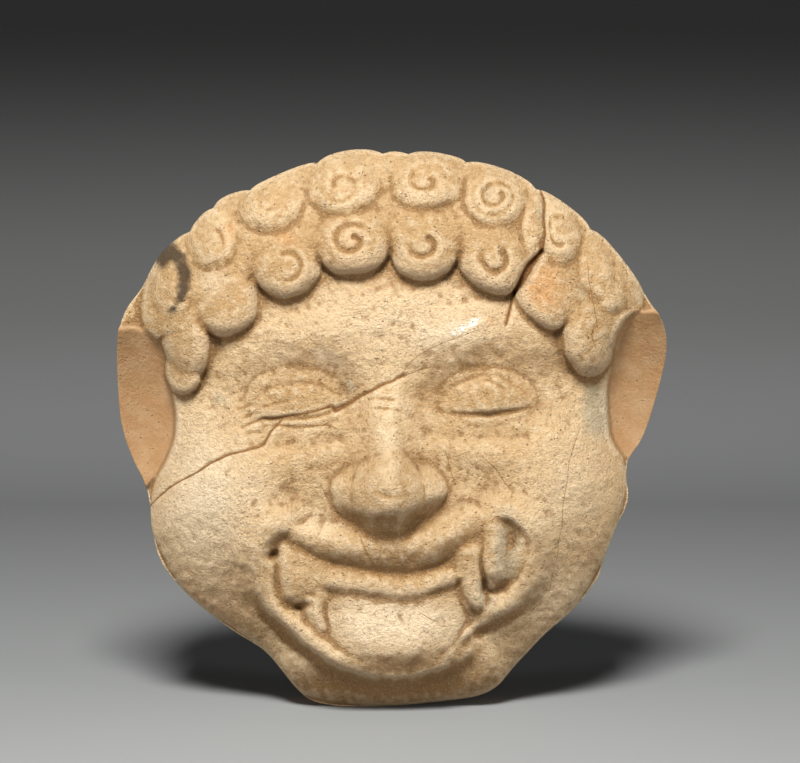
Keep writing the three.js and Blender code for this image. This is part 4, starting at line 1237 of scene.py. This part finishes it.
colour = clay.tinted(clay.ramp(*TAN_SHOWS, 0.5 * (cloud + mottle)), CREAM, TAN)
for layer in STAINS_AND_PAINTED_LIGHT:
    colour = with_stain_or_painted_light(colour, *layer)
core_colour = clay.tinted(clay.ramp(*CORE_TAN_SHOWS, mottle), CORE_ORANGE, CORE_TAN)
colour = clay.tinted(core_mask, colour, core_colour)
colour = clay.tinted(DARK_SPECK_STRENGTH * clay.ramp(*DARK_SPECKS, grit), colour, BROWN)
colour = clay.tinted(DARK_SPECK_STRENGTH * bare * clay.ramp(*DARK_SPECKS, dust), colour, BROWN)
colour = clay.tinted(PALE_SPECK_STRENGTH * bare * clay.ramp(*PALE_SPECKS, dust), colour, CHALK)
for layer in TOPMOST_STAINS:
    colour = with_stain_or_painted_light(colour, *layer)
colour = clay.tinted(GAP_STRENGTH * cracked("gap"), colour, GLUE)
colour = clay.tinted(FINE_CRACK_STRENGTH * cracked("fine_crack"), colour, BROWN)

pit_inputs = {"Vector": clay.places(), "Scale": 1 / (PIT_SPACING * MM), "Randomness": 1.0}
pit = clay.node("ShaderNodeTexVoronoi", {}, pit_inputs, "Distance")
pits = clay.ramp(*PIT_EDGE, pit) * clay.ramp(*PIT_PATCHES, clay.grain(across=3, detail=2))
colour = clay.tinted(PIT_STRENGTH * pits, colour, BROWN)
surface_grain = GRIT_RISE * grit + DUST_RISE * dust - PIT_FALL * pits
surface_grain = surface_grain * (1 - CORE_SMOOTHNESS * core_mask)
bump = clay.bumped(1.0, GRAIN_HEIGHT, surface_grain)
skin.materials.append(clay.finish(colour, CLAY_ROUGHNESS - CORE_POLISH * core_mask, bump))
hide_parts("gorgon_plaque")
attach(plaque, "root")


# The table it is shown on: one pale sheet that runs back and sweeps up, lit at the front, with
# painted shade that darkens it as it sweeps up behind. It isn't part of the object.
FLOOR_TOP = -0.1685
SWEEP_START = 0.5
SWEEP_RADIUS = 0.4
SWEEP_HEIGHT = 2.2
SWEEP_STEPS = 12
FLOOR_HALF = 2.4
FLOOR_FRONT = -1.6
NEAR_GREY = (0.268, 0.283, 0.295, 1)
MIDDLE_SHADE_GREY = (0.18, 0.189, 0.194, 1)
FAR_SHADE_GREY = (0.02, 0.021, 0.022, 1)
MIDDLE_SHADE_LEVELS = (-0.165, -0.08)
FAR_SHADE_LEVELS = (-0.12, 0.085)
PAPER_ROUGHNESS = 0.9
PAPER_GRAIN = 1.5
PAPER_BUMP_STRENGTH = 0.1
PAPER_BUMP_HEIGHT = 0.2

profile = [(FLOOR_FRONT, FLOOR_TOP), (0, FLOOR_TOP), (SWEEP_START, FLOOR_TOP)]
for step in range(1, SWEEP_STEPS + 1):
    angle = step / SWEEP_STEPS * math.pi / 2
    profile.append((
        SWEEP_START + SWEEP_RADIUS * math.sin(angle),
        FLOOR_TOP + SWEEP_RADIUS * (1 - math.cos(angle)),
    ))
profile.append((SWEEP_START + SWEEP_RADIUS, FLOOR_TOP + SWEEP_HEIGHT))
sheet_points = [(side * FLOOR_HALF, y, up) for y, up in profile for side in (-1, 1)]
sheet_faces = [(2 * i, 2 * i + 1, 2 * i + 3, 2 * i + 2) for i in range(len(profile) - 1)]
sheet = bpy.data.meshes.new("studio_sheet")
sheet.from_pydata(sheet_points, [], sheet_faces)
sheet.polygons.foreach_set("use_smooth", [True] * len(sheet.polygons))
floor = bpy.data.objects.new("studio_sheet", sheet)
bpy.context.scene.collection.objects.link(floor)
paper = Recipe("studio_paper")
up_wall = paper.node("ShaderNodeSeparateXYZ", {}, {"Vector": paper.places()}, "Z")
# Painted shade: the sheet's colour darkens as it rises up the sweep, to near black at the top.
painted_shade_tone = paper.tinted(paper.ramp(*MIDDLE_SHADE_LEVELS, up_wall), NEAR_GREY, MIDDLE_SHADE_GREY)
painted_shade_tone = paper.tinted(paper.ramp(*FAR_SHADE_LEVELS, up_wall), painted_shade_tone, FAR_SHADE_GREY)
paper_grain = paper.grain(across=PAPER_GRAIN, detail=2)
paper_bump = paper.bumped(PAPER_BUMP_STRENGTH, PAPER_BUMP_HEIGHT, paper_grain)
sheet.materials.append(paper.finish(painted_shade_tone, PAPER_ROUGHNESS, paper_bump))


# The light: one soft lamp above and in front, a low card to each side, and a little light all
# round. None of it is part of the object.
LAMPS = [
    {"name": "main_lamp", "azimuth": -4.5, "elevation": 45, "power": 18.2, "size": 0.25},
    {"name": "left_card", "azimuth": -62, "elevation": -2, "power": 4.5, "size": 0.18},
    {"name": "right_card", "azimuth": 62, "elevation": -2, "power": 4.8, "size": 0.18},
]
LAMP_DISTANCE = 0.95
LAMP_COLOUR = (1.0, 0.965, 0.91)
SKY_COLOUR = (0.92, 0.95, 1.0, 1)
SKY_STRENGTH = 0.03
LAMP_AIM = Vector((0, 0, -MIDDLE_BELOW_MOUNT * MM))

for lamp in LAMPS:
    light = bpy.data.lights.new(lamp["name"], "AREA")
    light.shape = "SQUARE"
    light.size = lamp["size"]
    light.energy = lamp["power"]
    light.color = LAMP_COLOUR
    holder = bpy.data.objects.new(lamp["name"], light)
    bpy.context.scene.collection.objects.link(holder)
    azimuth = math.radians(lamp["azimuth"])
    elevation = math.radians(lamp["elevation"])
    ray = Vector((
        math.sin(azimuth) * math.cos(elevation),
        -math.cos(azimuth) * math.cos(elevation),
        math.sin(elevation),
    ))
    holder.location = LAMP_AIM + ray * LAMP_DISTANCE
    holder.rotation_euler = ray.to_track_quat("Z", "Y").to_euler()

sky = bpy.data.worlds.new("room")
sky.use_nodes = True
background = sky.node_tree.nodes["Background"]
background.inputs["Color"].default_value = SKY_COLOUR
background.inputs["Strength"].default_value = SKY_STRENGTH
bpy.context.scene.world = sky
bpy.context.scene.view_settings.view_transform = "Standard"


# The camera, which looks nearly square at the face through a long lens, a little from above.
# It isn't part of the object either.
LENS = 135
CAMERA_RISE = 5
CAMERA_DISTANCE = 0.97
LOOK_AT = Vector((0.0026, -0.013, -0.0622))

camera_data = bpy.data.cameras.new("camera")
camera_data.lens = LENS
camera = bpy.data.objects.new("camera", camera_data)
bpy.context.scene.collection.objects.link(camera)
rise = math.radians(CAMERA_RISE)
back = Vector((0, -math.cos(rise), math.sin(rise)))
camera.location = LOOK_AT + back * CAMERA_DISTANCE
camera.rotation_euler = back.to_track_quat("Z", "Y").to_euler()
bpy.context.scene.camera = camera
